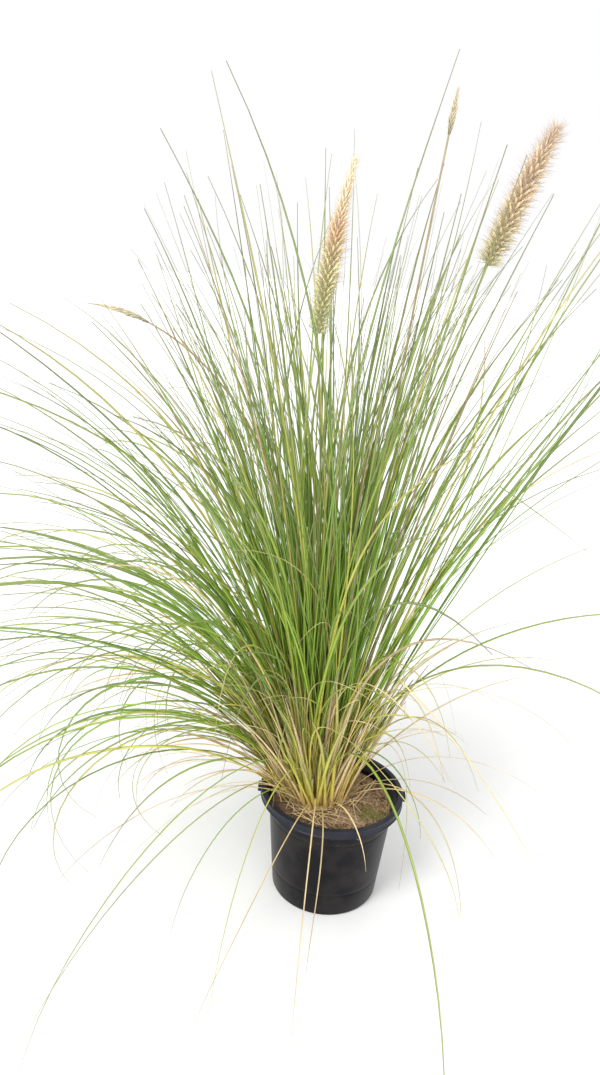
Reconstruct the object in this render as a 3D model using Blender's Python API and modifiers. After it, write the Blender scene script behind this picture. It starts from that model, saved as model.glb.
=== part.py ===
"""Potted fountain grass: a clump of arching blades and flower stems growing in a round nursery pot.

Metres, +Z up. The origin is the middle of the pot's underside, on the surface that the pot stands on.
-Y is the front of the clump and +X is its right. Azimuths are in degrees, from +X towards +Y.
"""

import math
from dataclasses import dataclass

import bmesh
import bpy
from mathutils import Vector

# Pot
LIP_DIAMETER = 0.170
POT_HEIGHT = 0.133
BASE_DIAMETER = 0.127
WALL = 0.0016
LIP_HEIGHT = 0.0105
LIP_FLANGE = 0.0065
NECK_DROP = 0.0125
BODY_TOP_DIAMETER = 0.149
BASE_CORNER = 0.003
POT_SEGMENTS = 56
DRAIN_HOLES = 6
DRAIN_HOLE_DIAMETER = 0.009
DRAIN_CIRCLE_RADIUS = 0.046
DRAIN_HOLE_SIDES = 10
LUG_SIZE = (0.005, 0.011, 0.007)
LUG_AZIMUTHS = (4, 184)

# Growing mix
SOIL_DEPTH_BELOW_LIP = 0.016
SOIL_CROWN = 0.002
SOIL_LEVEL_PART = 0.55
SOIL_SHOULDER = 0.92
SOIL_SEGMENTS = 40

# Clump
CROWN_CENTRE = (-0.018, 0.004)
CLEARANCE = 0.0003
PATH_STEPS = 40
LEFTWARD_LEAN = 5.0
LEFTWARD_ARCH = 0.32

LIP_RADIUS = LIP_DIAMETER / 2
BASE_RADIUS = BASE_DIAMETER / 2
BODY_TOP_RADIUS = BODY_TOP_DIAMETER / 2
FLOOR_THICKNESS = 1.4 * WALL
SOIL_TOP = POT_HEIGHT - SOIL_DEPTH_BELOW_LIP
ROOT_HEIGHT = SOIL_TOP + SOIL_CROWN + CLEARANCE


@dataclass(frozen=True)
class Arch:
    """A stem or blade: it leaves the crown `lean` degrees from upright and turns `bend` degrees more.

    `power` is 1 for an even bend and more where the bend is near the tip. `sway` turns the azimuth
    along the length, and a blade with a `fold` is creased by that many degrees at `fold_at`.
    """

    azimuth: float
    lean: float
    bend: float
    length: float
    root_radius: float
    power: float = 1.2
    sway: float = 0.0
    fold_at: float = 1.0
    fold: float = 0.0

    def stations(self, count, start=0.0, end=1.0):
        """Points along the arch and the sideways direction at each, found in small even steps."""
        azimuth = math.radians(self.azimuth)
        point = Vector((
            CROWN_CENTRE[0] + self.root_radius * math.cos(azimuth),
            CROWN_CENTRE[1] + self.root_radius * math.sin(azimuth),
            ROOT_HEIGHT,
        ))
        steps = (count - 1) * PATH_STEPS
        wanted = [round(steps * (start + (end - start) * i / (count - 1))) for i in range(count)]
        path = [(point, self.sideways(0.0))]
        for step in range(steps):
            t = (step + 0.5) / steps
            tilt = math.radians(self.lean + self.bend * t**self.power + (self.fold if t > self.fold_at else 0))
            heading = math.radians(self.azimuth + self.sway * t)
            outward = Vector((math.cos(heading), math.sin(heading), 0))
            move = outward * math.sin(tilt) + Vector((0, 0, math.cos(tilt)))
            point = point + move * self.length / steps
            path.append((point, self.sideways(t)))
        return [path[step] for step in wanted]

    def sideways(self, t):
        heading = math.radians(self.azimuth + self.sway * t)
        return Vector((-math.sin(heading), math.cos(heading), 0))


@dataclass(frozen=True)
class TuftRing:
    """A ring or part of a ring of leafy tufts, spread evenly from `first` over `span` degrees."""

    name: str
    count: int
    first: float
    span: float
    root_radius: float
    lean: float
    bend: float
    length: float
    foot_width: float
    fan_width: float
    power: float


TUFT_RINGS = (
    TuftRing("inner", 5, 45, 360, 0.010, 6, 13, 0.74, 0.009, 0.026, 1.6),
    TuftRing("middle", 8, 0, 360, 0.020, 11, 34, 0.72, 0.012, 0.048, 1.4),
    TuftRing("outer", 9, 20, 360, 0.029, 17, 54, 0.68, 0.015, 0.066, 1.2),
    TuftRing("left", 8, 92, 118, 0.037, 23, 66, 0.62, 0.0095, 0.050, 1.1),
    TuftRing("low", 6, 118, 88, 0.045, 27, 92, 0.52, 0.012, 0.046, 1.0),
)
TUFT_FOOT_THICKNESS = 0.005
TUFT_THICKNESS = 0.005
TIP_WIDTH = 0.004
TIP_THICKNESS = 0.002
WIDEST_AT = 0.55
LENGTH_VARIATION = 0.05
TUFT_STATIONS = 9
TUFT_SIDES = 6

BLADES = {
    "blade_far_left": Arch(251, 12, 160, 0.56, 0.050, 0.85, sway=-26),
    "blade_straight_left": Arch(244, 4, 144, 0.46, 0.050, 0.55, sway=-16),
    "blade_short_left": Arch(236, 14, 160, 0.28, 0.050, 0.7),
    "dry_blade_left": Arch(256, 8, 162, 0.42, 0.050, 0.85, sway=6),
    "dry_blade_crossing": Arch(264, 24, 124, 0.32, 0.050, 0.5, sway=-28),
    "dry_blade_front_long": Arch(271, 22, 148, 0.33, 0.050, 0.7),
    "dry_blade_front_short": Arch(280, 30, 145, 0.21, 0.050, 0.65, sway=-20),
    "dry_blade_lip": Arch(301, 30, 135, 0.105, 0.050, 0.9),
    "blade_trailing_right": Arch(288, 6, 164, 0.53, 0.050, 0.9),
    "dry_blade_hook_right": Arch(308, 4, 170, 0.235, 0.050, 1.5),
    "dry_blade_fallen_right": Arch(321, 2, 62, 0.44, 0.050, 0.8, sway=4, fold_at=0.46, fold=78),
    "blade_arched_right": Arch(333, 4, 122, 0.47, 0.050, 1.2),
    "blade_low_right": Arch(354, 8, 86, 0.48, 0.050, 1.0),
    "blade_folded_right": Arch(5, 11, 23.5, 0.525, 0.050, 1.2, sway=-4, fold_at=0.75, fold=90),
}
BLADE_WIDTH = 0.0042
BLADE_THICKNESS = 0.0014
BLADE_TAPER = 0.65
BLADE_STATIONS = 15

FLOWER_STEMS = {
    "centre": (Arch(225, 10.7, -26.7, 0.718, 0.0155, 1.6), 0.175, 0.030),
    "right": (Arch(21, 6, 20, 0.778, 0.0155, 1.8), 0.150, 0.034),
    "small": (Arch(8, 3, 3, 0.770, 0.0155, 1.4), 0.040, 0.009),
    "left": (Arch(160, 3, 88, 0.690, 0.0155, 2.3, sway=10), 0.085, 0.010),
}
STEM_DIAMETER = 0.0032
STEM_TAPER = 0.35
HEAD_GAP = 0.002
STEM_STATIONS = 10
HEAD_STATIONS = 9
HEAD_FOOT = 0.10
HEAD_SPAN = 0.84

COLOURS = {
    "pot": ((0.016, 0.017, 0.021, 1), 0.45),
    "soil": ((0.16, 0.10, 0.055, 1), 0.95),
    "green_blades": ((0.16, 0.30, 0.05, 1), 0.55),
    "dry_blades": ((0.60, 0.48, 0.27, 1), 0.7),
    "flower_stems": ((0.36, 0.37, 0.14, 1), 0.6),
    "seed_heads": ((0.55, 0.42, 0.26, 1), 0.85),
}


def clear_scene():
    for obj in list(bpy.data.objects):
        bpy.data.objects.remove(obj, do_unlink=True)


def make_material(name):
    colour, roughness = COLOURS[name]
    material = bpy.data.materials.new(name)
    material.use_nodes = True
    shader = material.node_tree.nodes["Principled BSDF"]
    shader.inputs["Base Color"].default_value = colour
    shader.inputs["Roughness"].default_value = roughness
    shader.inputs["Metallic"].default_value = 0.0
    return material


def make_collection(name):
    collection = bpy.data.collections.new(name)
    bpy.context.scene.collection.children.link(collection)
    return collection


def add_object(name, data, material, collection):
    obj = bpy.data.objects.new(name, data)
    if material is not None:
        data.materials.append(material)
    collection.objects.link(obj)
    return obj


def turned(name, profile, material, collection, segments):
    """A shape of revolution about Z from (radius, height) points that run down the outer side."""
    mesh = bpy.data.meshes.new(name)
    points = [(radius, 0, height) for radius, height in profile]
    mesh.from_pydata(points, [(i, i + 1) for i in range(len(points) - 1)], [])
    obj = add_object(name, mesh, material, collection)
    screw = obj.modifiers.new("turn", "SCREW")
    screw.axis = "Z"
    screw.angle = math.tau
    screw.steps = segments
    screw.render_steps = segments
    screw.use_merge_vertices = True
    screw.merge_threshold = 0.0001
    screw.use_smooth_shade = True
    return obj


def wall_radius(height):
    """Radius of the body's outer wall, which narrows evenly from below the lip to the base."""
    top = POT_HEIGHT - NECK_DROP
    return BASE_RADIUS + (BODY_TOP_RADIUS - BASE_RADIUS) * (height - BASE_CORNER) / (top - BASE_CORNER)


def pot_profile():
    """From the middle of the inside floor, up the inside, over the lip and down the outside to the underside."""
    top = POT_HEIGHT
    neck_inner = LIP_RADIUS - LIP_FLANGE
    neck_outer = neck_inner + WALL
    skirt_inner = LIP_RADIUS - WALL
    ledge = top - NECK_DROP
    inner_floor = FLOOR_THICKNESS
    inside = [
        (0, inner_floor),
        (BASE_RADIUS - WALL - BASE_CORNER, inner_floor),
        (wall_radius(inner_floor + BASE_CORNER) - WALL, inner_floor + BASE_CORNER),
        (BODY_TOP_RADIUS - WALL, ledge),
        (neck_inner, ledge + 0.003),
        (neck_inner, top - 0.001),
    ]
    lip = [
        (neck_inner + 0.001, top),
        (LIP_RADIUS - 0.001, top),
        (LIP_RADIUS, top - 0.001),
        (LIP_RADIUS - 0.0002, top - LIP_HEIGHT),
        (skirt_inner, top - LIP_HEIGHT),
        (skirt_inner, top - WALL),
        (neck_outer, top - WALL),
    ]
    outside = [
        (neck_outer, ledge + 0.0025),
        (BODY_TOP_RADIUS, ledge),
        (BASE_RADIUS, BASE_CORNER),
        (BASE_RADIUS - 0.3 * BASE_CORNER, 0.3 * BASE_CORNER),
        (BASE_RADIUS - BASE_CORNER, 0),
        (0, 0),
    ]
    return inside + lip + outside


def add_cutter(name, obj, collection):
    obj.name = name
    for owner in list(obj.users_collection):
        owner.objects.unlink(obj)
    collection.objects.link(obj)
    obj.hide_render = True
    obj.display_type = "WIRE"


def combine(target, tool, operation):
    boolean = target.modifiers.new(tool.name, "BOOLEAN")
    boolean.operation = operation
    boolean.object = tool
    boolean.solver = "EXACT"


def build_pot(collection, cutters, material):
    pot = turned("pot", pot_profile(), material, collection, POT_SEGMENTS)
    for i in range(DRAIN_HOLES):
        angle = math.tau * (i + 0.5) / DRAIN_HOLES
        place = (DRAIN_CIRCLE_RADIUS * math.cos(angle), DRAIN_CIRCLE_RADIUS * math.sin(angle), 0)
        bpy.ops.mesh.primitive_cylinder_add(
            vertices=DRAIN_HOLE_SIDES, radius=DRAIN_HOLE_DIAMETER / 2, depth=6 * FLOOR_THICKNESS, location=place
        )
        add_cutter(f"drain_cutter_{i + 1}", bpy.context.object, cutters)
        combine(pot, bpy.context.object, "DIFFERENCE")
    for i, azimuth in enumerate(LUG_AZIMUTHS):
        angle = math.radians(azimuth)
        reach = LIP_RADIUS + 0.1 * LUG_SIZE[0]
        place = (reach * math.cos(angle), reach * math.sin(angle), POT_HEIGHT - 0.6 * LIP_HEIGHT)
        bpy.ops.mesh.primitive_cube_add(size=1, location=place, rotation=(0, 0, angle), scale=LUG_SIZE)
        add_cutter(f"lug_{i + 1}", bpy.context.object, cutters)
        combine(pot, bpy.context.object, "UNION")
    return pot


def build_soil(collection, material):
    low = FLOOR_THICKNESS + CLEARANCE
    high = low + BASE_CORNER
    top_radius = wall_radius(SOIL_TOP) - WALL - 2 * CLEARANCE
    profile = [
        (0, SOIL_TOP + SOIL_CROWN),
        (SOIL_LEVEL_PART * top_radius, SOIL_TOP + SOIL_CROWN),
        (SOIL_SHOULDER * top_radius, SOIL_TOP + 0.3 * SOIL_CROWN),
        (top_radius, SOIL_TOP - SOIL_CROWN),
        (wall_radius(high) - WALL - 2 * CLEARANCE, high),
        (BASE_RADIUS - WALL - BASE_CORNER - 2 * CLEARANCE, low),
        (0, low),
    ]
    return turned("soil", profile, material, collection, SOIL_SEGMENTS)


def loft(name, stations, widths, thicknesses, sides, material, collection):
    """A closed solid through lens-shaped sections, each across the path at its station; its foot is level."""
    shape = bmesh.new()
    rings = []
    for i, (point, sideways) in enumerate(stations):
        before = stations[max(i - 1, 0)][0]
        after = stations[min(i + 1, len(stations) - 1)][0]
        forward = (after - before).normalized() if i else Vector((0, 0, 1))
        facing = sideways.cross(forward)
        ring = []
        for side in range(sides):
            angle = math.tau * side / sides
            across = sideways * (widths[i] / 2 * math.cos(angle))
            through = facing * (thicknesses[i] / 2 * math.sin(angle))
            ring.append(shape.verts.new(point + across + through))
        rings.append(ring)
    for lower, upper in zip(rings, rings[1:]):
        for side in range(sides):
            following = (side + 1) % sides
            shape.faces.new((lower[side], lower[following], upper[following], upper[side]))
    shape.faces.new(rings[0][::-1])
    shape.faces.new(rings[-1])
    bmesh.ops.recalc_face_normals(shape, faces=shape.faces)
    mesh = bpy.data.meshes.new(name)
    shape.to_mesh(mesh)
    shape.free()
    mesh.shade_smooth()
    return add_object(name, mesh, material, collection)


def build_tufts(collection, material):
    """Leafy tufts: round at the foot, fanned out flat half way along and drawn in at the tips."""
    for ring in TUFT_RINGS:
        whole_turn = ring.span == 360
        for i in range(ring.count):
            azimuth = ring.first + ring.span * i / (ring.count if whole_turn else ring.count - 1)
            leftward = -math.cos(math.radians(azimuth))
            arch = Arch(
                azimuth,
                ring.lean + LEFTWARD_LEAN * leftward,
                ring.bend * (1 + LEFTWARD_ARCH * leftward),
                ring.length * (1 + LENGTH_VARIATION * math.sin(2.1 * i)),
                ring.root_radius,
                ring.power,
            )
            widths = []
            thicknesses = []
            for station in range(TUFT_STATIONS):
                t = station / (TUFT_STATIONS - 1)
                spread = math.sin(math.pi * t / (2 * WIDEST_AT)) ** 1.3
                widths.append(ring.foot_width * (1 - t) + TIP_WIDTH * t + ring.fan_width * spread)
                thicknesses.append(
                    TUFT_FOOT_THICKNESS * (1 - t) + TIP_THICKNESS * t + (TUFT_THICKNESS - TIP_THICKNESS) * spread
                )
            name = f"tuft_{ring.name}_{i + 1}"
            loft(name, arch.stations(TUFT_STATIONS), widths, thicknesses, TUFT_SIDES, material, collection)


def build_blades(collection, green, dry):
    """The single blades that arch clear of the tufts or hang down over the lip."""
    for name, arch in BLADES.items():
        widths = []
        for station in range(BLADE_STATIONS):
            t = station / (BLADE_STATIONS - 1)
            widths.append(BLADE_WIDTH * (1 - BLADE_TAPER * t**3))
        thicknesses = [BLADE_THICKNESS] * BLADE_STATIONS
        material = dry if name.startswith("dry") else green
        loft(name, arch.stations(BLADE_STATIONS), widths, thicknesses, 4, material, collection)


def add_tube(name, stations, radii, resolution, material, collection):
    curve = bpy.data.curves.new(name, "CURVE")
    curve.dimensions = "3D"
    curve.bevel_depth = 1.0
    curve.bevel_resolution = resolution
    curve.use_fill_caps = True
    spline = curve.splines.new("POLY")
    spline.points.add(len(stations) - 1)
    for target, (point, _), radius in zip(spline.points, stations, radii):
        target.co = (*point, 1)
        target.radius = radius
    return add_object(name, curve, material, collection)


def build_flower_stems(collection, stem_material, head_material):
    """Each stem ends just under its seed head, which carries on along the same arch."""
    for name, (arch, head_length, head_diameter) in FLOWER_STEMS.items():
        head_start = 1 - head_length / arch.length
        stem_end = head_start - HEAD_GAP / arch.length
        stem = arch.stations(STEM_STATIONS, 0, stem_end)
        stem_radii = []
        for i in range(STEM_STATIONS):
            stem_radii.append(STEM_DIAMETER / 2 * (1 - STEM_TAPER * i / (STEM_STATIONS - 1)))
        add_tube(f"flower_stem_{name}", stem, stem_radii, 1, stem_material, collection)
        head = arch.stations(HEAD_STATIONS, head_start, 1)
        head_radii = []
        for i in range(HEAD_STATIONS):
            fullness = math.sin(math.pi * (HEAD_FOOT + HEAD_SPAN * i / (HEAD_STATIONS - 1))) ** 0.6
            head_radii.append(head_diameter / 2 * fullness)
        add_tube(f"seed_head_{name}", head, head_radii, 3, head_material, collection)


def main():
    clear_scene()
    parts = make_collection("potted_fountain_grass")
    cutters = make_collection("cutters")
    materials = {name: make_material(name) for name in COLOURS}
    build_pot(parts, cutters, materials["pot"])
    build_soil(parts, materials["soil"])
    build_tufts(parts, materials["green_blades"])
    build_blades(parts, materials["green_blades"], materials["dry_blades"])
    build_flower_stems(parts, materials["flower_stems"], materials["seed_heads"])


main()
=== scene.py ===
"""Looks of the potted fountain grass: leaves, sheaths, flower stems, seed heads, pot and growing mix.

Metres, +Z up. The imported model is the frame: the pot, the mix and the box of the whole object come
from it. -Y is the front of the clump and +X its right. Azimuths are in degrees, from +X towards +Y.
"""

import logging
import math
from collections.abc import Callable
from dataclasses import dataclass, field, replace
from enum import Enum

import bmesh
import bpy
import numpy as np
from mathutils import Euler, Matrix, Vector, noise

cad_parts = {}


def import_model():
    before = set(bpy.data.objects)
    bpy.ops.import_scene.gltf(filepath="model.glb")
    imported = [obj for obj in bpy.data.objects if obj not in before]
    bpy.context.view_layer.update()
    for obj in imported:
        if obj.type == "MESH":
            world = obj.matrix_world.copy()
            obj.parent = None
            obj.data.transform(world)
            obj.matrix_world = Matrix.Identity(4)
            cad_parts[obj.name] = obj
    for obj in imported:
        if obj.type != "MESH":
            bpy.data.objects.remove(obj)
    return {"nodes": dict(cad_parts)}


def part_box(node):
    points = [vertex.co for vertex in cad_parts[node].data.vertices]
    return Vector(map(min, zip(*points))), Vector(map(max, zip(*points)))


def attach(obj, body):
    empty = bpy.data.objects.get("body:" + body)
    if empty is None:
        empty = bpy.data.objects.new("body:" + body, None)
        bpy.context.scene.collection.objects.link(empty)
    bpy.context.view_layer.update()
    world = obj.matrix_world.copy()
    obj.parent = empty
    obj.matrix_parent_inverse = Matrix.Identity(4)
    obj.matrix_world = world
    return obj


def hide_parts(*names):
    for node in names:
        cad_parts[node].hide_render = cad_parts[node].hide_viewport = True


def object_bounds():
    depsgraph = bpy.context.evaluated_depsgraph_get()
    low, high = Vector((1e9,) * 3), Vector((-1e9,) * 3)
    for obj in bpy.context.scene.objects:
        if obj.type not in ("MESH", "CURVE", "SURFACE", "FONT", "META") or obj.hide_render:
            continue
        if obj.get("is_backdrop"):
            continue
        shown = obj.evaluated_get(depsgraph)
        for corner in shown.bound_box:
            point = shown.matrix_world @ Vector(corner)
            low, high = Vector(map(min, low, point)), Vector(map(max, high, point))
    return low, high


LOG = logging.getLogger("fountain_grass")
BAKE_MAP = "OFBake"
ARCH_STEPS = 120
FULL_TURN = 360.0
SCAFFOLD = set(
    "azimuth lean bend power sway fold_at fold length width tone twist along across root kink height size "
    "spread inner turn".split()
)

Socket = bpy.types.NodeSocket
Span = tuple[float, float]
Colour = tuple[float, float, float]
Stops = tuple[tuple[float, Colour], ...]


class Slot(Enum):
    """The record's material slots, by what wears them."""

    POT = "pot"
    SOIL = "soil"
    GREEN = "green_blades"
    DRY = "dry_blades"
    STEM = "flower_stems"
    HEAD = "seed_heads"


# ---------------------------------------------------------------- node trees


class Tree:
    """Adds nodes to one tree, with their settings and links given in the same call."""

    def __init__(self, tree: bpy.types.NodeTree) -> None:
        """Args: tree: the shader or geometry node tree to add to."""
        self.tree = tree

    def feed(self, socket: Socket, value: object) -> None:
        """Links a socket to an input, or sets the input's own value.

        Args:
            socket: the input to feed.
            value: another node's output, or a plain value.
        """
        if isinstance(value, Socket):
            self.tree.links.new(value, socket)
        else:
            socket.default_value = value

    def add(
        self, kind: str, inputs: dict[int | str, object] | None = None, **settings: object
    ) -> bpy.types.Node:
        """Adds one node.

        Args:
            kind: the node's type name.
            inputs: values or outputs, by socket name or number.
            settings: the node's own properties.

        Returns:
            The node.
        """
        node = self.tree.nodes.new(kind)
        for name, value in settings.items():
            setattr(node, name, value)
        for key, value in (inputs or {}).items():
            self.feed(node.inputs[key], value)
        return node

    def math(self, operation: str, *values: object) -> Socket:
        """Adds a Math node and returns its output."""
        return self.add("ShaderNodeMath", dict(enumerate(values)), operation=operation).outputs[0]

    def plus(self, a: object, b: object) -> Socket:
        """Adds two numbers."""
        return self.math("ADD", a, b)

    def times(self, a: object, b: object) -> Socket:
        """Multiplies two numbers."""
        return self.math("MULTIPLY", a, b)

    def vector_math(self, operation: str, *values: object) -> Socket:
        """Adds a Vector Math node and returns its vector output."""
        return self.add("ShaderNodeVectorMath", dict(enumerate(values)), operation=operation).outputs[0]

    def scaled(self, vector: object, factor: object) -> Socket:
        """Multiplies a vector by a number."""
        return self.add("ShaderNodeVectorMath", {0: vector, "Scale": factor}, operation="SCALE").outputs[0]

    def leant(self, start: object, end: object, angle: object) -> Socket:
        """Turns a direction by an angle towards another one at right angles to it."""
        kept = self.scaled(start, self.math("COSINE", angle))
        return self.vector_math("ADD", kept, self.scaled(end, self.math("SINE", angle)))

    def vector(self, x: object, y: object, z: object) -> Socket:
        """Joins three numbers in a vector."""
        return self.add("ShaderNodeCombineXYZ", {0: x, 1: y, 2: z}).outputs[0]

    def parts(self, vector: object) -> tuple[Socket, ...]:
        """Splits a vector in its three numbers."""
        return tuple(self.add("ShaderNodeSeparateXYZ", {0: vector}).outputs)

    def remap(
        self,
        value: object,
        low: object,
        high: object,
        to_low: object = 0.0,
        to_high: object = 1.0,
        smooth: bool = False,
    ) -> Socket:
        """Maps a range of numbers onto another and clamps it, smoothly if asked."""
        node = self.add("ShaderNodeMapRange", {0: value, 1: low, 2: high, 3: to_low, 4: to_high})
        node.interpolation_type = "SMOOTHSTEP" if smooth else "LINEAR"
        return node.outputs[0]

    def mix_number(self, factor: object, a: object, b: object) -> Socket:
        """Mixes two numbers."""
        return self.add("ShaderNodeMix", {0: factor, 2: a, 3: b}, data_type="FLOAT").outputs[0]

    def mix_vector(self, factor: object, a: object, b: object) -> Socket:
        """Mixes two vectors."""
        return self.add("ShaderNodeMix", {0: factor, 4: a, 5: b}, data_type="VECTOR").outputs[1]

    def mix_colour(self, factor: object, a: object, b: object, blend: str = "MIX") -> Socket:
        """Mixes two colours, each a node's output or a plain colour."""
        a, b = ((*colour, 1.0) if isinstance(colour, tuple) else colour for colour in (a, b))
        node = self.add("ShaderNodeMix", {0: factor, 6: a, 7: b}, data_type="RGBA", blend_type=blend)
        return node.outputs[2]

    def shaded(self, colour: object, brightness: object) -> Socket:
        """Makes a colour brighter or darker."""
        return self.mix_colour(1.0, colour, self.vector(brightness, brightness, brightness), "MULTIPLY")

    def ramp(self, factor: object, stops: Stops) -> Socket:
        """Adds a colour ramp.

        Args:
            factor: where to read the ramp.
            stops: positions and linear colours, in order.

        Returns:
            The colour.
        """
        node = self.add("ShaderNodeValToRGB", {0: factor})
        elements = node.color_ramp.elements
        while len(elements) < len(stops):
            elements.new(0.5)
        for element, (position, colour) in zip(elements, stops):
            element.position = position
            element.color = (*colour, 1.0)
        return node.outputs[0]

    def noise(self, place: object, scale: float, detail: float = 3.0, rough: float = 0.5) -> Socket:
        """Adds a noise of one scale at a place and returns its value."""
        inputs = {"Vector": place, "Scale": scale, "Detail": detail, "Roughness": rough}
        return self.add("ShaderNodeTexNoise", inputs).outputs[0]

    def recipe_chance(self, recipe: object) -> bpy.types.Node:
        """Adds the chance that a colour recipe's number gives, as a value and as three."""
        return self.add("ShaderNodeTexWhiteNoise", {"W": recipe}, noise_dimensions="1D")

    def own_map(self) -> tuple[Socket, Socket]:
        """Reads the piece's bake map: the place among the colour columns, and the place along."""
        across, along, _ = self.parts(self.add("ShaderNodeUVMap", uv_map=BAKE_MAP).outputs[0])
        return across, along

    def named(self, name: str, kind: str = "FLOAT") -> Socket:
        """Reads a named attribute of the geometry."""
        return self.add("GeometryNodeInputNamedAttribute", {0: name}, data_type=kind).outputs[0]

    def store(
        self, geometry: object, name: str, value: object, kind: str = "FLOAT", domain: str = "POINT"
    ) -> Socket:
        """Stores a named attribute on the geometry and returns the geometry."""
        node = self.add("GeometryNodeStoreNamedAttribute", data_type=kind, domain=domain)
        self.feed(node.inputs["Geometry"], geometry)
        self.feed(node.inputs["Name"], name)
        self.feed(node.inputs["Value"], value)
        return node.outputs[0]

    def random(self, low: object, high: object, seed: object) -> Socket:
        """Adds a random number between two limits."""
        inputs = {2: low, 3: high, 8: seed}
        return self.add("FunctionNodeRandomValue", inputs, data_type="FLOAT").outputs[1]

    def random_vector(self, low: object, high: object, seed: object) -> Socket:
        """Adds a random vector between two limits."""
        inputs = {0: low, 1: high, 8: seed}
        return self.add("FunctionNodeRandomValue", inputs, data_type="FLOAT_VECTOR").outputs[0]


class GeometryTree(Tree):
    """A geometry node group with named inputs, used on one object and then made a plain mesh."""

    KINDS = {float: "NodeSocketFloat", int: "NodeSocketInt"}

    def __init__(self, name: str, **inputs: float | int) -> None:
        """Makes the group.

        Args:
            name: the group's name.
            inputs: the named sizes and counts with their default values.
        """
        super().__init__(bpy.data.node_groups.new(name, "GeometryNodeTree"))
        interface = self.tree.interface
        interface.new_socket("Geometry", in_out="INPUT", socket_type="NodeSocketGeometry")
        self.identifiers: dict[str, str] = {}
        for label, value in inputs.items():
            socket = interface.new_socket(label, in_out="INPUT", socket_type=self.KINDS[type(value)])
            socket.default_value = value
            self.identifiers[label] = socket.identifier
        interface.new_socket("Geometry", in_out="OUTPUT", socket_type="NodeSocketGeometry")
        self.start = self.tree.nodes.new("NodeGroupInput")
        self.end = self.tree.nodes.new("NodeGroupOutput")

    def given(self, name: str) -> Socket:
        """Returns one of the group's inputs."""
        return self.start.outputs[name]

    def place(self) -> Socket:
        """Returns each point's own place."""
        return self.add("GeometryNodeInputPosition").outputs[0]

    def index(self) -> Socket:
        """Returns each point's own number."""
        return self.add("GeometryNodeInputIndex").outputs[0]

    def swept(self, curve: object, section: object, scale: object) -> Socket:
        """Sweeps a section along a curve, as a capped mesh."""
        inputs = {"Curve": curve, "Profile Curve": section, "Scale": scale, "Fill Caps": True}
        return self.add("GeometryNodeCurveToMesh", inputs).outputs[0]

    def smooth(self, mesh: object) -> Socket:
        """Shades a mesh smooth."""
        return self.add("GeometryNodeSetShadeSmooth", {"Geometry": mesh, "Shade Smooth": True}).outputs[0]

    def both_ways(self, sides: object) -> Socket:
        """Numbers a section's points from 1 down to 0 and up again, so that its map has no seam."""
        turn = self.math("DIVIDE", self.index(), sides)
        return self.math("ABSOLUTE", self.math("SUBTRACT", self.times(turn, 2.0), 1.0))

    def inset(self, name: str, share: float) -> Socket:
        """Reads an attribute from 0 to 1, drawn in at both ends so that it fills only this share."""
        return self.plus(self.times(self.named(name), share), (1.0 - share) / 2.0)

    def mapped(self, mesh: object, columns: int) -> Socket:
        """Stores the bake map: the recipe's column and the place across it, then the place along."""
        recipe = self.math("FLOOR", self.times(self.named("tone"), float(columns)))
        u = self.math("DIVIDE", self.plus(recipe, self.inset("across", 0.86)), float(columns))
        return self.store(mesh, BAKE_MAP, self.vector(u, self.inset("along", 0.98), 0.0), "FLOAT2", "CORNER")

    def finish(self, geometry: object, material: bpy.types.Material) -> None:
        """Realizes the instances, sets the material and ends the tree."""
        real = self.add("GeometryNodeRealizeInstances", {0: geometry}).outputs[0]
        dressed = self.add("GeometryNodeSetMaterial", {0: real, 2: material}).outputs[0]
        self.feed(self.end.inputs[0], dressed)

    def apply(self, name: str, source: bpy.types.Mesh, **values: float | int) -> bpy.types.Object:
        """Runs the tree on a mesh and keeps the result as a plain mesh object.

        Args:
            name: the finished piece's name.
            source: the mesh of points or faces that the tree starts from.
            values: the named inputs to set.

        Returns:
            The finished piece, at the origin.
        """
        carrier = bpy.data.objects.new(name + "_carrier", source)
        bpy.context.scene.collection.objects.link(carrier)
        modifier = carrier.modifiers.new("tree", "NODES")
        modifier.node_group = self.tree
        for label, value in values.items():
            modifier[self.identifiers[label]] = value
        graph = bpy.context.evaluated_depsgraph_get()
        mesh = bpy.data.meshes.new_from_object(carrier.evaluated_get(graph), depsgraph=graph)
        mesh.name = name
        bpy.data.objects.remove(carrier)
        bpy.data.meshes.remove(source)
        for helper in SCAFFOLD & set(mesh.attributes.keys()):
            mesh.attributes.remove(mesh.attributes[helper])
        return linked(name, mesh)


def linked(name: str, mesh: bpy.types.Mesh) -> bpy.types.Object:
    """Makes an object of a mesh and links it to the scene."""
    obj = bpy.data.objects.new(name, mesh)
    bpy.context.scene.collection.objects.link(obj)
    return obj


def settle(piece: bpy.types.Object, slot: Slot, *nodes: str) -> None:
    """Tells the frame what a finished piece rides on and stands for.

    Args:
        piece: the finished object.
        slot: the record's material slot, which is not used.
        nodes: the CAD nodes that the piece replaces.
    """
    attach(piece, "root")
    if nodes:
        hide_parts(*nodes)
    piece.data.calc_loop_triangles()
    triangles = len(piece.data.loop_triangles)
    LOG.info("%s: %d triangles, stands for %d nodes", piece.name, triangles, len(nodes))


# ------------------------------------------------------------------ finishes


def principled(name: str, constants: dict[str, float]) -> tuple[bpy.types.Material, Tree, bpy.types.Node]:
    """Makes a material with one Principled shader.

    Args:
        name: the material's name.
        constants: values for the shader's own sockets, by name.

    Returns:
        The material, its tree and the shader node.
    """
    material = bpy.data.materials.new(name)
    material.use_nodes = True
    shader = material.node_tree.nodes["Principled BSDF"]
    for label, value in constants.items():
        shader.inputs[label].default_value = value
    return material, Tree(material.node_tree), shader


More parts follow.
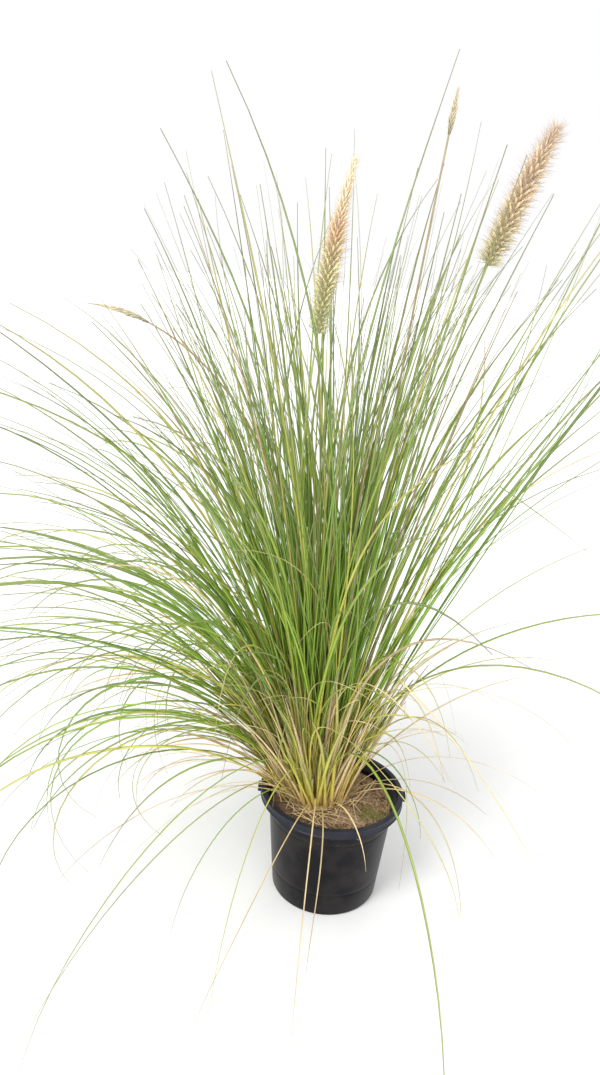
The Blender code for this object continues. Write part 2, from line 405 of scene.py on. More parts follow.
@dataclass(frozen=True)
class LeafFinish:
    """A leaf's colours, from the foot to the tip, in many recipes.

    The bake map's U is the recipe in equal columns, with the place across the leaf inside each
    column, and V is the place along the leaf.
    """

    columns: int = 64
    straw_from: float = 0.86
    turning_from: float = 0.70
    turning_reach: float = 0.06
    straw_reach: float = 0.01
    roughness: float = 0.46
    brightness: Span = (0.70, 1.34)
    streaks: Span = (0.8, 1.2)
    streak_scale: Span = (1.7, 9.0)
    rib_reach: Span = (0.04, 0.14)
    rib_strength: float = 0.25
    rib: Colour = (0.60, 0.62, 0.26)
    fresh: Stops = (
        (0.00, (0.86, 0.60, 0.210)),
        (0.09, (0.82, 0.64, 0.150)),
        (0.17, (0.52, 0.57, 0.060)),
        (0.30, (0.34, 0.50, 0.030)),
        (0.55, (0.31, 0.45, 0.042)),
        (0.80, (0.31, 0.38, 0.080)),
        (0.95, (0.29, 0.30, 0.120)),
        (1.00, (0.26, 0.22, 0.140)),
    )
    deep: Stops = (
        (0.00, (0.78, 0.54, 0.190)),
        (0.09, (0.60, 0.50, 0.110)),
        (0.20, (0.19, 0.36, 0.030)),
        (0.50, (0.15, 0.31, 0.040)),
        (0.80, (0.18, 0.27, 0.085)),
        (1.00, (0.23, 0.22, 0.135)),
    )
    golden: Stops = (
        (0.00, (0.84, 0.58, 0.200)),
        (0.20, (0.76, 0.60, 0.120)),
        (0.50, (0.56, 0.52, 0.090)),
        (0.85, (0.52, 0.47, 0.160)),
        (1.00, (0.46, 0.36, 0.200)),
    )
    straw: Stops = (
        (0.00, (0.78, 0.56, 0.250)),
        (0.30, (0.80, 0.60, 0.310)),
        (0.70, (0.72, 0.55, 0.320)),
        (0.92, (0.60, 0.47, 0.290)),
        (1.00, (0.40, 0.32, 0.220)),
    )

    def material(self) -> bpy.types.Material:
        """Makes the material.

        Returns:
            The material, which reads the leaf's own map.
        """
        material, tree, shader = principled("leaf", {"Roughness": self.roughness})
        u, along = tree.own_map()
        column = tree.times(u, float(self.columns))
        recipe = tree.math("FLOOR", column)
        across = tree.math("FRACT", column)
        share = tree.math("DIVIDE", recipe, float(self.columns))
        lively, shade, _ = tree.parts(tree.recipe_chance(recipe).outputs[1])
        leaf = tree.mix_colour(lively, tree.ramp(along, self.deep), tree.ramp(along, self.fresh))
        turning = tree.remap(share, self.turning_from, self.turning_from + self.turning_reach, 0.0, 0.85)
        leaf = tree.mix_colour(turning, leaf, tree.ramp(along, self.golden))
        dead = tree.remap(share, self.straw_from, self.straw_from + self.straw_reach)
        leaf = tree.mix_colour(dead, leaf, tree.ramp(along, self.straw))
        across_scale, along_scale = self.streak_scale
        streak_place = tree.vector(
            tree.times(column, across_scale), tree.times(along, along_scale), 0.0
        )
        streaks = tree.remap(tree.noise(streak_place, 1.0), 0.3, 0.7, *self.streaks)
        bright = tree.times(tree.remap(shade, 0.0, 1.0, *self.brightness), streaks)
        leaf = tree.shaded(leaf, bright)
        from_rib = tree.math("ABSOLUTE", tree.math("SUBTRACT", across, 0.5))
        on_rib = tree.remap(from_rib, *self.rib_reach, self.rib_strength, 0.0)
        leaf = tree.mix_colour(on_rib, leaf, self.rib)
        tree.feed(shader.inputs["Base Color"], leaf)
        return material


@dataclass(frozen=True)
class StemFinish:
    """A flower stem's colours: straw at the foot, then green, and tan or pinkish brown near the head."""

    columns: int = 8
    greenest_to_tannest: Span = (0.25, 0.75)
    mottle_scale: Span = (30.0, 1.5)
    mottle: Span = (0.82, 1.15)
    green: Stops = (
        (0.00, (0.44, 0.33, 0.130)),
        (0.30, (0.36, 0.38, 0.100)),
        (0.70, (0.28, 0.34, 0.100)),
        (1.00, (0.40, 0.44, 0.170)),
    )
    tan: Stops = (
        (0.00, (0.44, 0.31, 0.140)),
        (0.40, (0.46, 0.38, 0.190)),
        (0.75, (0.36, 0.21, 0.140)),
        (1.00, (0.36, 0.25, 0.170)),
    )

    def material(self) -> bpy.types.Material:
        """Makes the material: the first columns are the green stems and the last ones the tan."""
        material, tree, shader = principled("stem", {"Roughness": 0.5})
        u, along = tree.own_map()
        share = tree.remap(u, *self.greenest_to_tannest)
        colour = tree.mix_colour(share, tree.ramp(along, self.green), tree.ramp(along, self.tan))
        stretch, scale = self.mottle_scale
        cloud = tree.noise(tree.vector(u, tree.times(along, stretch), 0.0), scale)
        colour = tree.shaded(colour, tree.remap(cloud, 0.3, 0.7, *self.mottle))
        tree.feed(shader.inputs["Base Color"], colour)
        return material


# -------------------------------------------------------------------- leaves


@dataclass(frozen=True)
class Arch:
    """A stem or leaf: it leaves the crown `lean` degrees from upright and turns `bend` degrees more.

    `power` is 1 for an even bend and more where the bend is near the tip. `sway` turns the azimuth
    along the length, and a leaf with a `fold` is creased by that many degrees at `fold_at`.
    """

    azimuth: float
    lean: float
    bend: float
    length: float
    root_radius: float
    power: float = 1.2
    sway: float = 0.0
    fold_at: float = 1.0
    fold: float = 0.0
    width: float = 0.0038
    tone: float = 0.3
    twist: float = 40.0
    root_turn: float = 0.0

    def root(self, crown: Vector) -> Vector:
        """Returns where the arch leaves the crown."""
        angle = math.radians(self.azimuth + self.root_turn)
        return crown + Vector((math.cos(angle), math.sin(angle), 0.0)) * self.root_radius

    def path(self, crown: Vector, count: int, start: float = 0.0, end: float = 1.0) -> list[Vector]:
        """Works out points along the arch.

        Args:
            crown: the middle of the crown.
            count: how many points to return.
            start: where to start, as a share of the length.
            end: where to end.

        Returns:
            Evenly spaced points.
        """
        stride = self.length / ARCH_STEPS
        points = [self.root(crown)]
        for step in range(ARCH_STEPS):
            t = (step + 0.5) / ARCH_STEPS
            crease = self.fold if t > self.fold_at else 0
            tilt = math.radians(self.lean + self.bend * t**self.power + crease)
            heading = math.radians(self.azimuth + self.sway * t)
            outward = Vector((math.cos(heading), math.sin(heading), 0.0))
            move = outward * math.sin(tilt) + Vector((0.0, 0.0, math.cos(tilt)))
            points.append(points[-1] + move * stride)
        span = end - start
        return [points[round(ARCH_STEPS * (start + span * i / (count - 1)))] for i in range(count)]


class LeafTree(GeometryTree):
    """Grows one leaf from each point of a mesh, along the arch that the point's attributes give."""

    ATTRIBUTES = "azimuth lean bend power sway fold_at fold length width tone twist".split()
    SECTION = ((-0.5, 0.13, 0.0), (0.0, -0.15, 0.0), (0.5, 0.13, 0.0), (0.0, -0.03, 0.0))
    SHEATH_ENDS = (0.06, 0.20)
    TAPER_FROM = 2.6
    TAPER_ROUNDNESS = 0.65
    TIP_SHARE = 0.20
    WAVE_LENGTHS = 2.5
    WAVE_DIFFERENCE = 91.0
    WAVE_REACH = 6.0

    def __init__(self, material: bpy.types.Material, columns: int) -> None:
        """Builds the tree.

        Args:
            material: what the leaves wear.
            columns: the number of colour recipes side by side in the map.
        """
        super().__init__("leaves_along_arches", Segments=22, Surface=0.0012, Waviness=1.3, Sheath=1.45)
        points = self.store(self.given("Geometry"), "root", self.place(), "FLOAT_VECTOR")
        line = self.add("GeometryNodeCurvePrimitiveLine").outputs[0]
        count = self.plus(self.given("Segments"), 1.0)
        line = self.add("GeometryNodeResampleCurve", {0: line, 2: count}, mode="COUNT").outputs[0]
        grown = self.add("GeometryNodeInstanceOnPoints", {"Points": points, "Instance": line}).outputs[0]
        grown = self.add("GeometryNodeRealizeInstances", {0: grown}).outputs[0]
        curve = self.add("GeometryNodeCurveOfPoint")
        index = curve.outputs["Index in Curve"]
        along = self.math("DIVIDE", index, self.given("Segments"))
        grown = self.store(grown, "along", along)
        middle = self.math("DIVIDE", self.plus(index, 0.5), self.given("Segments"))
        moves = self.moves(middle, curve.outputs["Curve Index"])
        total = self.running_total(moves, curve.outputs["Curve Index"], "Trailing")
        place = self.vector_math("ADD", self.named("root", "FLOAT_VECTOR"), total)
        grown = self.store(grown, "kink", moves, "FLOAT_VECTOR")
        grown = self.add("GeometryNodeSetPosition", {"Geometry": grown, "Position": place}).outputs[0]
        grown = self.add("GeometryNodeSetCurveNormal", {0: grown, 2: self.facing()}, mode="FREE").outputs[0]
        blade = self.smooth(self.swept(grown, self.section(), self.width_along()))
        self.finish(self.mapped(blade, columns), material)

    def wave(self, t: object) -> Socket:
        """The slight waves of a leaf at t, in degrees, which differ from leaf to leaf."""
        own = self.times(self.named("tone"), self.WAVE_DIFFERENCE)
        place = self.vector(self.times(t, self.WAVE_LENGTHS), own, self.named("azimuth"))
        reach = self.times(self.given("Waviness"), self.WAVE_REACH)
        return self.times(self.math("SUBTRACT", self.noise(place, 1.0, 1.0), 0.5), reach)

    def moves(self, t: object, curve: object) -> Socket:
        """Works out each point's step to the next one.

        Args:
            t: the middle of the step along the leaf, 0 to 1.
            curve: the number of the leaf's curve.

        Returns:
            The step, which is level where the leaf would otherwise pass below the surface.
        """
        level, direction = self.direction(t)
        stride = self.math("DIVIDE", self.named("length"), self.given("Segments"))
        free = self.scaled(direction, stride)
        fall = self.parts(self.running_total(free, curve, "Leading"))[2]
        height = self.plus(self.parts(self.named("root", "FLOAT_VECTOR"))[2], fall)
        landed = self.math("LESS_THAN", height, self.given("Surface"))
        return self.mix_vector(landed, free, self.scaled(level, stride))

    def direction(self, t: object) -> tuple[Socket, Socket]:
        """Works out which way the leaf heads at t.

        Args:
            t: the place along the leaf, 0 to 1.

        Returns:
            The level heading and the direction in space, both of length 1.
        """
        wave = self.wave(t)
        bent = self.times(self.named("bend"), self.math("POWER", t, self.named("power")))
        past_fold = self.math("GREATER_THAN", t, self.named("fold_at"))
        creased = self.times(self.named("fold"), past_fold)
        leaning = self.plus(self.named("lean"), bent)
        wavering = self.plus(creased, self.times(wave, t))
        tilt = self.math("RADIANS", self.plus(leaning, wavering))
        turned = self.times(self.plus(self.named("sway"), wave), t)
        heading = self.math("RADIANS", self.plus(self.named("azimuth"), turned))
        level = self.vector(self.math("COSINE", heading), self.math("SINE", heading), 0.0)
        return level, self.leant((0.0, 0.0, 1.0), level, tilt)

    def running_total(self, value: object, curve: object, output: str) -> Socket:
        """Adds a vector up along each curve, with this point's (Leading) or without (Trailing)."""
        node = self.add("GeometryNodeAccumulateField", data_type="FLOAT_VECTOR", domain="POINT")
        self.feed(node.inputs["Value"], value)
        self.feed(node.inputs["Group ID"], curve)
        return node.outputs[output]

    def facing(self) -> Socket:
        """Turns the leaf's flat side with the twist, and returns its direction across."""
        forward = self.vector_math("NORMALIZE", self.named("kink", "FLOAT_VECTOR"))
        angle = self.math("RADIANS", self.plus(self.named("azimuth"), 90.0))
        sideways = self.vector(self.math("COSINE", angle), self.math("SINE", angle), 0.0)
        upward = self.vector_math("CROSS_PRODUCT", forward, sideways)
        degrees = self.times(self.named("twist"), self.plus(self.named("along"), 0.25))
        return self.leant(sideways, upward, self.math("RADIANS", degrees))

    def section(self) -> Socket:
        """A shallow channelled section, one unit wide, with its place across stored on its corners."""
        inputs = {f"Point {i + 1}": corner for i, corner in enumerate(self.SECTION)}
        curve = self.add("GeometryNodeCurvePrimitiveQuadrilateral", inputs, mode="POINTS").outputs[0]
        return self.store(curve, "across", self.plus(self.parts(self.place())[0], 0.5))

    def width_along(self) -> Socket:
        """The leaf's width: a broad sheath at the foot, an even blade, then a long taper to the tip."""
        along = self.named("along")
        foot = self.remap(along, *self.SHEATH_ENDS, self.given("Sheath"), 1.0, smooth=True)
        taper = self.math("SUBTRACT", 1.0, self.math("POWER", along, self.TAPER_FROM))
        taper = self.math("MAXIMUM", self.math("POWER", taper, self.TAPER_ROUNDNESS), self.TIP_SHARE)
        return self.times(self.named("width"), self.times(foot, taper))

    def grow(self, name: str, crown: Vector, arches: list[Arch]) -> bpy.types.Object:
        """Grows a piece.

        Args:
            name: the piece's name.
            crown: the middle of the crown.
            arches: one for each leaf.

        Returns:
            The finished mesh object.
        """
        mesh = bpy.data.meshes.new(name + "_roots")
        mesh.from_pydata([arch.root(crown) for arch in arches], [], [])
        for attribute in self.ATTRIBUTES:
            layer = mesh.attributes.new(attribute, "FLOAT", "POINT")
            layer.data.foreach_set("value", [float(getattr(arch, attribute)) for arch in arches])
        return self.apply(name, mesh)


@dataclass(frozen=True)
class LeafRing:
    """The tufts of one ring and the leaves that fill them."""

    name: str
    count: int
    first: float
    span: float
    root_radius: float
    lean: float
    bend: float
    length: float
    power: float
    leaves: int
    spread: float
    tilt_spread: float
    sway: float

    def nodes(self) -> list[str]:
        """The CAD nodes of the ring's tufts."""
        return [f"tuft_{self.name}_{i + 1}" for i in range(self.count)]


@dataclass(frozen=True)
class Room:
    """The space that leaves keep to: inside the whole object's box, clear of the mix and of the lip."""

    low: Vector
    high: Vector
    lip_inner: float = 0.073
    lip_outer: float = 0.091
    lip_top: float = 0.138
    mix_top: float = 0.117

    def holds(self, points: list[Vector]) -> bool:
        """Tells whether every point of a path is in free space."""
        for point in points:
            if any(not a <= p <= b for a, p, b in zip(self.low, point, self.high)):
                return False
            away = math.hypot(point.x, point.y)
            floor = self.lip_top if away > self.lip_inner else self.mix_top
            if away < self.lip_outer and point.z < floor:
                return False
        return True


@dataclass(frozen=True)
class Scatter:
    """How the leaves of a loose group vary: pairs are the least and the most, `sway` is a spread.

    With a `least_sway`, each leaf turns clearly to one side, by between that and `sway` degrees.
    """

    count: int
    lean: Span
    bend: Span
    length: Span
    root_radius: Span
    power: Span
    sway: float
    width: Span
    tone: Span
    root_spread: float
    least_sway: float = 0.0
    twist: float = 90.0

    def turning(self, rng: np.random.Generator) -> float:
        """Draws how far a leaf turns along its length."""
        if self.least_sway:
            return rng.choice((-1, 1)) * rng.uniform(self.least_sway, self.sway)
        return rng.normal(0, self.sway)

    def leaf(self, rng: np.random.Generator, azimuth: float) -> Arch:
        """Draws one leaf that starts out at an azimuth."""
        return Arch(
            azimuth,
            rng.uniform(*self.lean),
            rng.uniform(*self.bend),
            rng.uniform(*self.length),
            rng.uniform(*self.root_radius),
            rng.uniform(*self.power),
            sway=self.turning(rng),
            width=rng.uniform(*self.width),
            tone=rng.uniform(*self.tone),
            twist=rng.uniform(-self.twist, self.twist),
            root_turn=rng.normal(0, self.root_spread),
        )


CROSSING = Scatter(
    count=44,
    lean=(0, 14),
    bend=(90, 160),
    length=(0.24, 0.46),
    root_radius=(0.020, 0.038),
    power=(1.4, 2.6),
    sway=90,
    width=(0.0015, 0.0024),
    tone=(0.74, 0.91),
    root_spread=25,
    least_sway=20,
)
FALLEN = Scatter(
    count=40,
    lean=(18, 48),
    bend=(50, 115),
    length=(0.14, 0.34),
    root_radius=(0.026, 0.038),
    power=(0.7, 1.4),
    sway=30,
    width=(0.0014, 0.0022),
    tone=(0.87, 0.985),
    root_spread=20,
)
OUTLYING = Scatter(
    count=86,
    lean=(1, 13),
    bend=(2, 36),
    length=(0.58, 0.79),
    root_radius=(0.008, 0.028),
    power=(1.2, 2.2),
    sway=45,
    width=(0.0026, 0.0037),
    tone=(0.1, 0.85),
    root_spread=60,
)


@dataclass
class Foliage:
    """All the leaves of the clump."""

    crown: Vector
    room: Room
    tree: LeafTree
    leftward_lean: float = 5.0
    leftward_arch: float = 0.36
    leaf_width: float = 0.0033
    right_share: float = 0.15
    front_share: float = 0.45
    seed: int = 11
    rings: tuple[LeafRing, ...] = (
        LeafRing("inner", 5, 45, 360, 0.011, 5, 20, 0.69, 1.6, 38, 34, 3.6, 55),
        LeafRing("middle", 8, 0, 360, 0.018, 10, 40, 0.71, 1.5, 26, 24, 4.5, 32),
        LeafRing("outer", 9, 20, 360, 0.025, 16, 62, 0.68, 1.4, 17, 20, 5.0, 22),
        LeafRing("left", 8, 92, 118, 0.030, 20, 74, 0.65, 1.3, 10, 14, 5.0, 16),
        LeafRing("low", 6, 118, 88, 0.035, 24, 104, 0.55, 1.1, 9, 14, 5.0, 14),
    )
    singles: dict[str, Arch] = field(
        default_factory=lambda: {
            "blade_far_left": Arch(251, 12, 160, 0.56, 0.050, 0.85, sway=-26, tone=0.30),
            "blade_straight_left": Arch(244, 4, 144, 0.46, 0.050, 0.55, sway=-16, tone=0.74),
            "blade_short_left": Arch(236, 14, 160, 0.28, 0.050, 0.7, tone=0.45),
            "dry_blade_left": Arch(256, 8, 162, 0.42, 0.050, 0.85, sway=6, tone=0.75),
            "dry_blade_crossing": Arch(264, 24, 124, 0.32, 0.050, 0.5, sway=-28, tone=0.91),
            "dry_blade_front_long": Arch(271, 22, 148, 0.33, 0.050, 0.7, tone=0.93),
            "dry_blade_front_short": Arch(280, 30, 145, 0.21, 0.050, 0.65, sway=-20, tone=0.95),
            "dry_blade_lip": Arch(301, 30, 135, 0.105, 0.050, 0.9, tone=0.97),
            "blade_trailing_right": Arch(288, 6, 164, 0.53, 0.050, 0.9, tone=0.72),
            "dry_blade_hook_right": Arch(308, 4, 170, 0.235, 0.050, 1.5, tone=0.20),
            "dry_blade_fallen_right": Arch(
                321, 2, 62, 0.44, 0.050, 0.8, sway=4, fold_at=0.46, fold=78, tone=0.90
            ),
            "blade_arched_right": Arch(333, 4, 122, 0.47, 0.050, 1.2, tone=0.72),
            "blade_low_right": Arch(354, 8, 86, 0.48, 0.050, 1.0, tone=0.50),
            "blade_folded_right": Arch(
                5, 11, 23.5, 0.525, 0.050, 1.2, sway=-4, fold_at=0.75, fold=90, tone=0.40
            ),
        }
    )
    foot_inset: float = 0.022
    foot_regain: float = 0.8
    dry_width: float = 0.0019
    single_width: float = 0.0027
    tries: int = 12
    stations: int = 40
    open_bend: float = 55.0
    bend_shares: Span = (0.70, 1.50)
    length_shares: tuple[float, float, float] = (0.50, 0.92, 1.06)
    root_shares: Span = (0.55, 1.25)
    power_shares: Span = (0.85, 1.35)
    width_shares: Span = (0.60, 1.15)
    tone_shape: Span = (1.1, 1.6)
    root_spread: float = 42.0
    sheath_count: int = 310
    sheath_reach: float = 0.036
    sheath_lean: Span = (2.0, 19.0)

    def scattered(self, count: int, draw: Callable[[], Arch]) -> list[Arch]:
        """Draws arches until enough of them keep to free space.

        Args:
            count: how many arches are wanted.
            draw: makes one arch by chance.

        Returns:
            The arches that were kept.
        """
        kept = []
        for _ in range(count * self.tries):
            if len(kept) == count:
                break
            arch = draw()
            if self.room.holds(arch.path(self.crown, self.stations)[1:]):
                kept.append(arch)
        return kept

    def ring_leaves(self, ring: LeafRing, rng: np.random.Generator) -> list[Arch]:
        """Scatters the leaves of one ring about its tufts.

        Args:
            ring: the ring.
            rng: the seeded source of chance.

        Returns:
            One arch for each leaf.
        """
        arches = []
        steps = ring.count if ring.span == FULL_TURN else ring.count - 1
        for tuft in range(ring.count):
            middle = ring.first + ring.span * tuft / steps
            rightward = math.cos(math.radians(middle))
            frontward = -math.sin(math.radians(middle))
            openness = min(1.0, ring.bend / self.open_bend)
            thinning = 1 - (1 - self.right_share) * max(0.0, rightward) * openness
            thinning *= 1 - (1 - self.front_share) * max(0.0, frontward) ** 2 * openness

            def draw(middle: float = middle) -> Arch:
                """Draws one leaf of this tuft."""
                azimuth = middle + ring.spread * rng.uniform(-1, 1)
                leftward = -math.cos(math.radians(azimuth))
                return Arch(
                    azimuth,
                    ring.lean + self.leftward_lean * leftward + rng.normal(0, ring.tilt_spread),
                    ring.bend * (1 + self.leftward_arch * leftward) * rng.uniform(*self.bend_shares),
                    ring.length * rng.triangular(*self.length_shares),
                    ring.root_radius * rng.uniform(*self.root_shares),
                    ring.power * rng.uniform(*self.power_shares),
                    sway=rng.normal(0, ring.sway),
                    width=self.leaf_width * rng.uniform(*self.width_shares),
                    tone=rng.beta(*self.tone_shape),
                    twist=rng.uniform(-90, 90),
                    root_turn=rng.normal(0, self.root_spread),
                )

            arches += self.scattered(round(ring.leaves * thinning), draw)
        return arches

    def sheaths(self, rng: np.random.Generator) -> list[Arch]:
        """Short broad straw and golden sheaths that hide the foot of the clump."""

        def draw() -> Arch:
            """Draws one sheath: golden, or more often grey straw towards the left and the right."""
            azimuth = rng.uniform(0, 360) if rng.uniform() < 0.4 else rng.normal(195, 45)
            share = math.sqrt(rng.uniform(0.05, 1.0))
            rightward = math.cos(math.radians(azimuth))
            dry = rng.uniform() < 0.15 + 0.45 * max(-rightward, 0.5 * rightward)
            inner_lean, more = self.sheath_lean
            return Arch(
                azimuth,
                inner_lean + more * share * (1 - 0.45 * rightward) + rng.normal(0, 3.5),
                rng.uniform(2, 26),
                rng.uniform(0.08, 0.24),
                self.sheath_reach * share,
                1.4,
                sway=rng.normal(0, 14),
                width=rng.uniform(0.0034, 0.0056),
                tone=rng.uniform(0.88, 0.99) if dry else rng.uniform(0.74, 0.85),
                twist=rng.uniform(-60, 60),
                root_turn=rng.normal(0, 16),
            )

        return self.scattered(self.sheath_count, draw)

    def crossings(self, rng: np.random.Generator) -> list[Arch]:
        """Thin yellow and straw leaves that bow over in front of the clump."""
        return self.scattered(CROSSING.count, lambda: CROSSING.leaf(rng, rng.uniform(215, 325)))

    def fringe(self, rng: np.random.Generator) -> list[Arch]:
        """Dry leaves that fall away low on the left and on the right of the crown."""

        def draw() -> Arch:
            """Draws one dry leaf: three in four are on the left."""
            return FALLEN.leaf(rng, rng.normal(195 if rng.uniform() < 0.75 else 20, 20))

        return self.scattered(FALLEN.count, draw)

    def outliers(self, rng: np.random.Generator) -> list[Arch]:
        """The few long leaves that stand above the rest or reach out past them on the right."""
        reaching = replace(OUTLYING, lean=(5, 24))

        def draw() -> Arch:
            """Draws one long leaf, which leans more if it is on the right."""
            if rng.uniform() < 0.28:
                return reaching.leaf(rng, rng.normal(345, 32))
            return OUTLYING.leaf(rng, rng.normal(150, 70))

        return self.scattered(OUTLYING.count, draw)

    def build(self) -> None:
        """Grows every piece and settles it in the frame."""
        rng = np.random.default_rng(self.seed)
        for ring in self.rings:
            piece = self.tree.grow(f"leaves_{ring.name}", self.crown, self.ring_leaves(ring, rng))
            settle(piece, Slot.GREEN, *ring.nodes())
        for name, arch in self.singles.items():
            dry = name.startswith("dry")
            arch = replace(
                arch,
                root_radius=arch.root_radius - self.foot_inset,
                length=arch.length + self.foot_regain * self.foot_inset,
                width=self.dry_width if dry else self.single_width,
            )
            piece = self.tree.grow("leaf_" + name.removeprefix("blade_"), self.crown, [arch])
            settle(piece, Slot.DRY if dry else Slot.GREEN, name)
        settle(self.tree.grow("sheaths", self.crown, self.sheaths(rng)), Slot.DRY)
        bowed = self.crossings(rng) + self.fringe(rng)
        settle(self.tree.grow("bowed_leaves", self.crown, bowed), Slot.DRY)
        settle(self.tree.grow("long_leaves", self.crown, self.outliers(rng)), Slot.GREEN)


# --------------------------------------------------------- stems and litter


@dataclass(frozen=True)
class Strand:
    """A stem or dry curl along a chain of points, with its width at each and its colour recipe."""

    points: list[Vector]
    widths: list[float]
    tone: float


class StrandTree(GeometryTree):
    """Sweeps a round or flattened section along each chain of points."""

    def __init__(self, material: bpy.types.Material, columns: int) -> None:
        """Builds the tree.

        Args:
            material: what the strands wear.
            columns: the number of colour recipes side by side in the map.
        """
        super().__init__("strands_along_chains", Sides=8, Flatness=1.0)
        curve = self.add("GeometryNodeMeshToCurve", {0: self.given("Geometry")}).outputs[0]
        sizes = {"Resolution": self.given("Sides"), "Radius": 0.5}
        circle = self.add("GeometryNodeCurvePrimitiveCircle", sizes).outputs[0]
        squash = self.vector(1.0, self.given("Flatness"), 1.0)
        circle = self.add("GeometryNodeTransform", {"Geometry": circle, "Scale": squash}).outputs[0]
        circle = self.store(circle, "across", self.both_ways(self.given("Sides")))
        strand = self.smooth(self.swept(curve, circle, self.named("size")))
        self.finish(self.mapped(strand, columns), material)

    def sweep(self, name: str, strands: list[Strand], **values: float | int) -> bpy.types.Object:
        """Makes a piece of all the strands.

        Args:
            name: the piece's name.
            strands: the chains of points.
            values: the tree's named inputs.

        Returns:
            The finished mesh object.
        """
        points, edges, along, size, tone = [], [], [], [], []
        for strand in strands:
            first = len(points)
            count = len(strand.points)
            points += strand.points
            edges += [(first + i, first + i + 1) for i in range(count - 1)]
            along += [i / (count - 1) for i in range(count)]
            size += strand.widths
            tone += [strand.tone] * count
        mesh = bpy.data.meshes.new(name + "_chains")
        mesh.from_pydata(points, edges, [])
        for label, numbers in (("along", along), ("size", size), ("tone", tone)):
            mesh.attributes.new(label, "FLOAT", "POINT").data.foreach_set("value", numbers)
        return self.apply(name, mesh, **values)


@dataclass
class FlowerStems:
    """The four stems that carry the seed heads, each with a few slightly swollen joints."""

    crown: Vector
    tree: StrandTree
    width: float = 0.0031
    taper: float = 0.4
    joint_swelling: float = 0.22
    joints: tuple[float, ...] = (0.13, 0.34, 0.58)
    joint_reach: float = 0.008
    head_share: float = 0.08
    stations: int = 61
    arches: dict[str, tuple[Arch, float]] = field(
        default_factory=lambda: {
            "centre": (Arch(225, 10.7, -26.7, 0.718, 0.0155, 1.6, tone=0.12), 0.175),
            "right": (Arch(21, 6, 20, 0.778, 0.0155, 1.8, tone=0.30), 0.150),
            "small": (Arch(8, 3, 3, 0.770, 0.0155, 1.4, tone=0.55), 0.040),
            "left": (Arch(160, 3, 88, 0.690, 0.0155, 2.3, sway=10, tone=0.80), 0.085),
        }
    )

    def width_at(self, t: float) -> float:
        """The stem's width at t, thicker at each joint."""
        swelling = sum(math.exp(-(((t - joint) / self.joint_reach) ** 2)) for joint in self.joints)
        return self.width * (1 - self.taper * t) * (1 + self.joint_swelling * swelling)

    def build(self) -> None:
        """Makes the four stems."""
        for name, (arch, head_length) in self.arches.items():
            end = 1 - (1 - self.head_share) * head_length / arch.length
            points = arch.path(self.crown, self.stations, 0.0, end)
            widths = [self.width_at(i / (self.stations - 1)) for i in range(self.stations)]
            piece = self.tree.sweep(f"stalk_{name}", [Strand(points, widths, arch.tone)])
            settle(piece, Slot.STEM, f"flower_stem_{name}")


@dataclass
class Culms:
    """Old flowerless stems in the clump: golden ones near the middle and a pinkish one on the right."""

    crown: Vector
    tree: StrandTree
    stations: int = 41
    taper: float = 0.75
    arches: tuple[Arch, ...] = (
        Arch(262, 2.0, 2, 0.50, 0.020, width=0.0026, tone=0.70),
        Arch(236, 3.5, 1, 0.44, 0.018, width=0.0024, tone=0.70),
        Arch(300, 3.0, -3, 0.38, 0.024, width=0.0026, tone=0.45),
        Arch(205, 7.0, 3, 0.52, 0.016, width=0.0022, tone=0.60),
        Arch(338, 9.0, 10, 0.61, 0.018, 1.6, width=0.0028, tone=0.95),
        Arch(316, 9.0, 8, 0.56, 0.020, 1.5, width=0.0026, tone=0.90),
        Arch(190, 12.0, 30, 0.60, 0.018, 1.6, width=0.0020, tone=0.90),
    )

    def build(self) -> None:
        """Makes the stems as one piece."""
        strands = []
        for arch in self.arches:
            points = arch.path(self.crown, self.stations)
            shares = [i / (self.stations - 1) for i in range(self.stations)]
            widths = [arch.width * (1 - self.taper * share**2) for share in shares]
            strands.append(Strand(points, widths, arch.tone))
        settle(self.tree.sweep("old_stems", strands), Slot.STEM)


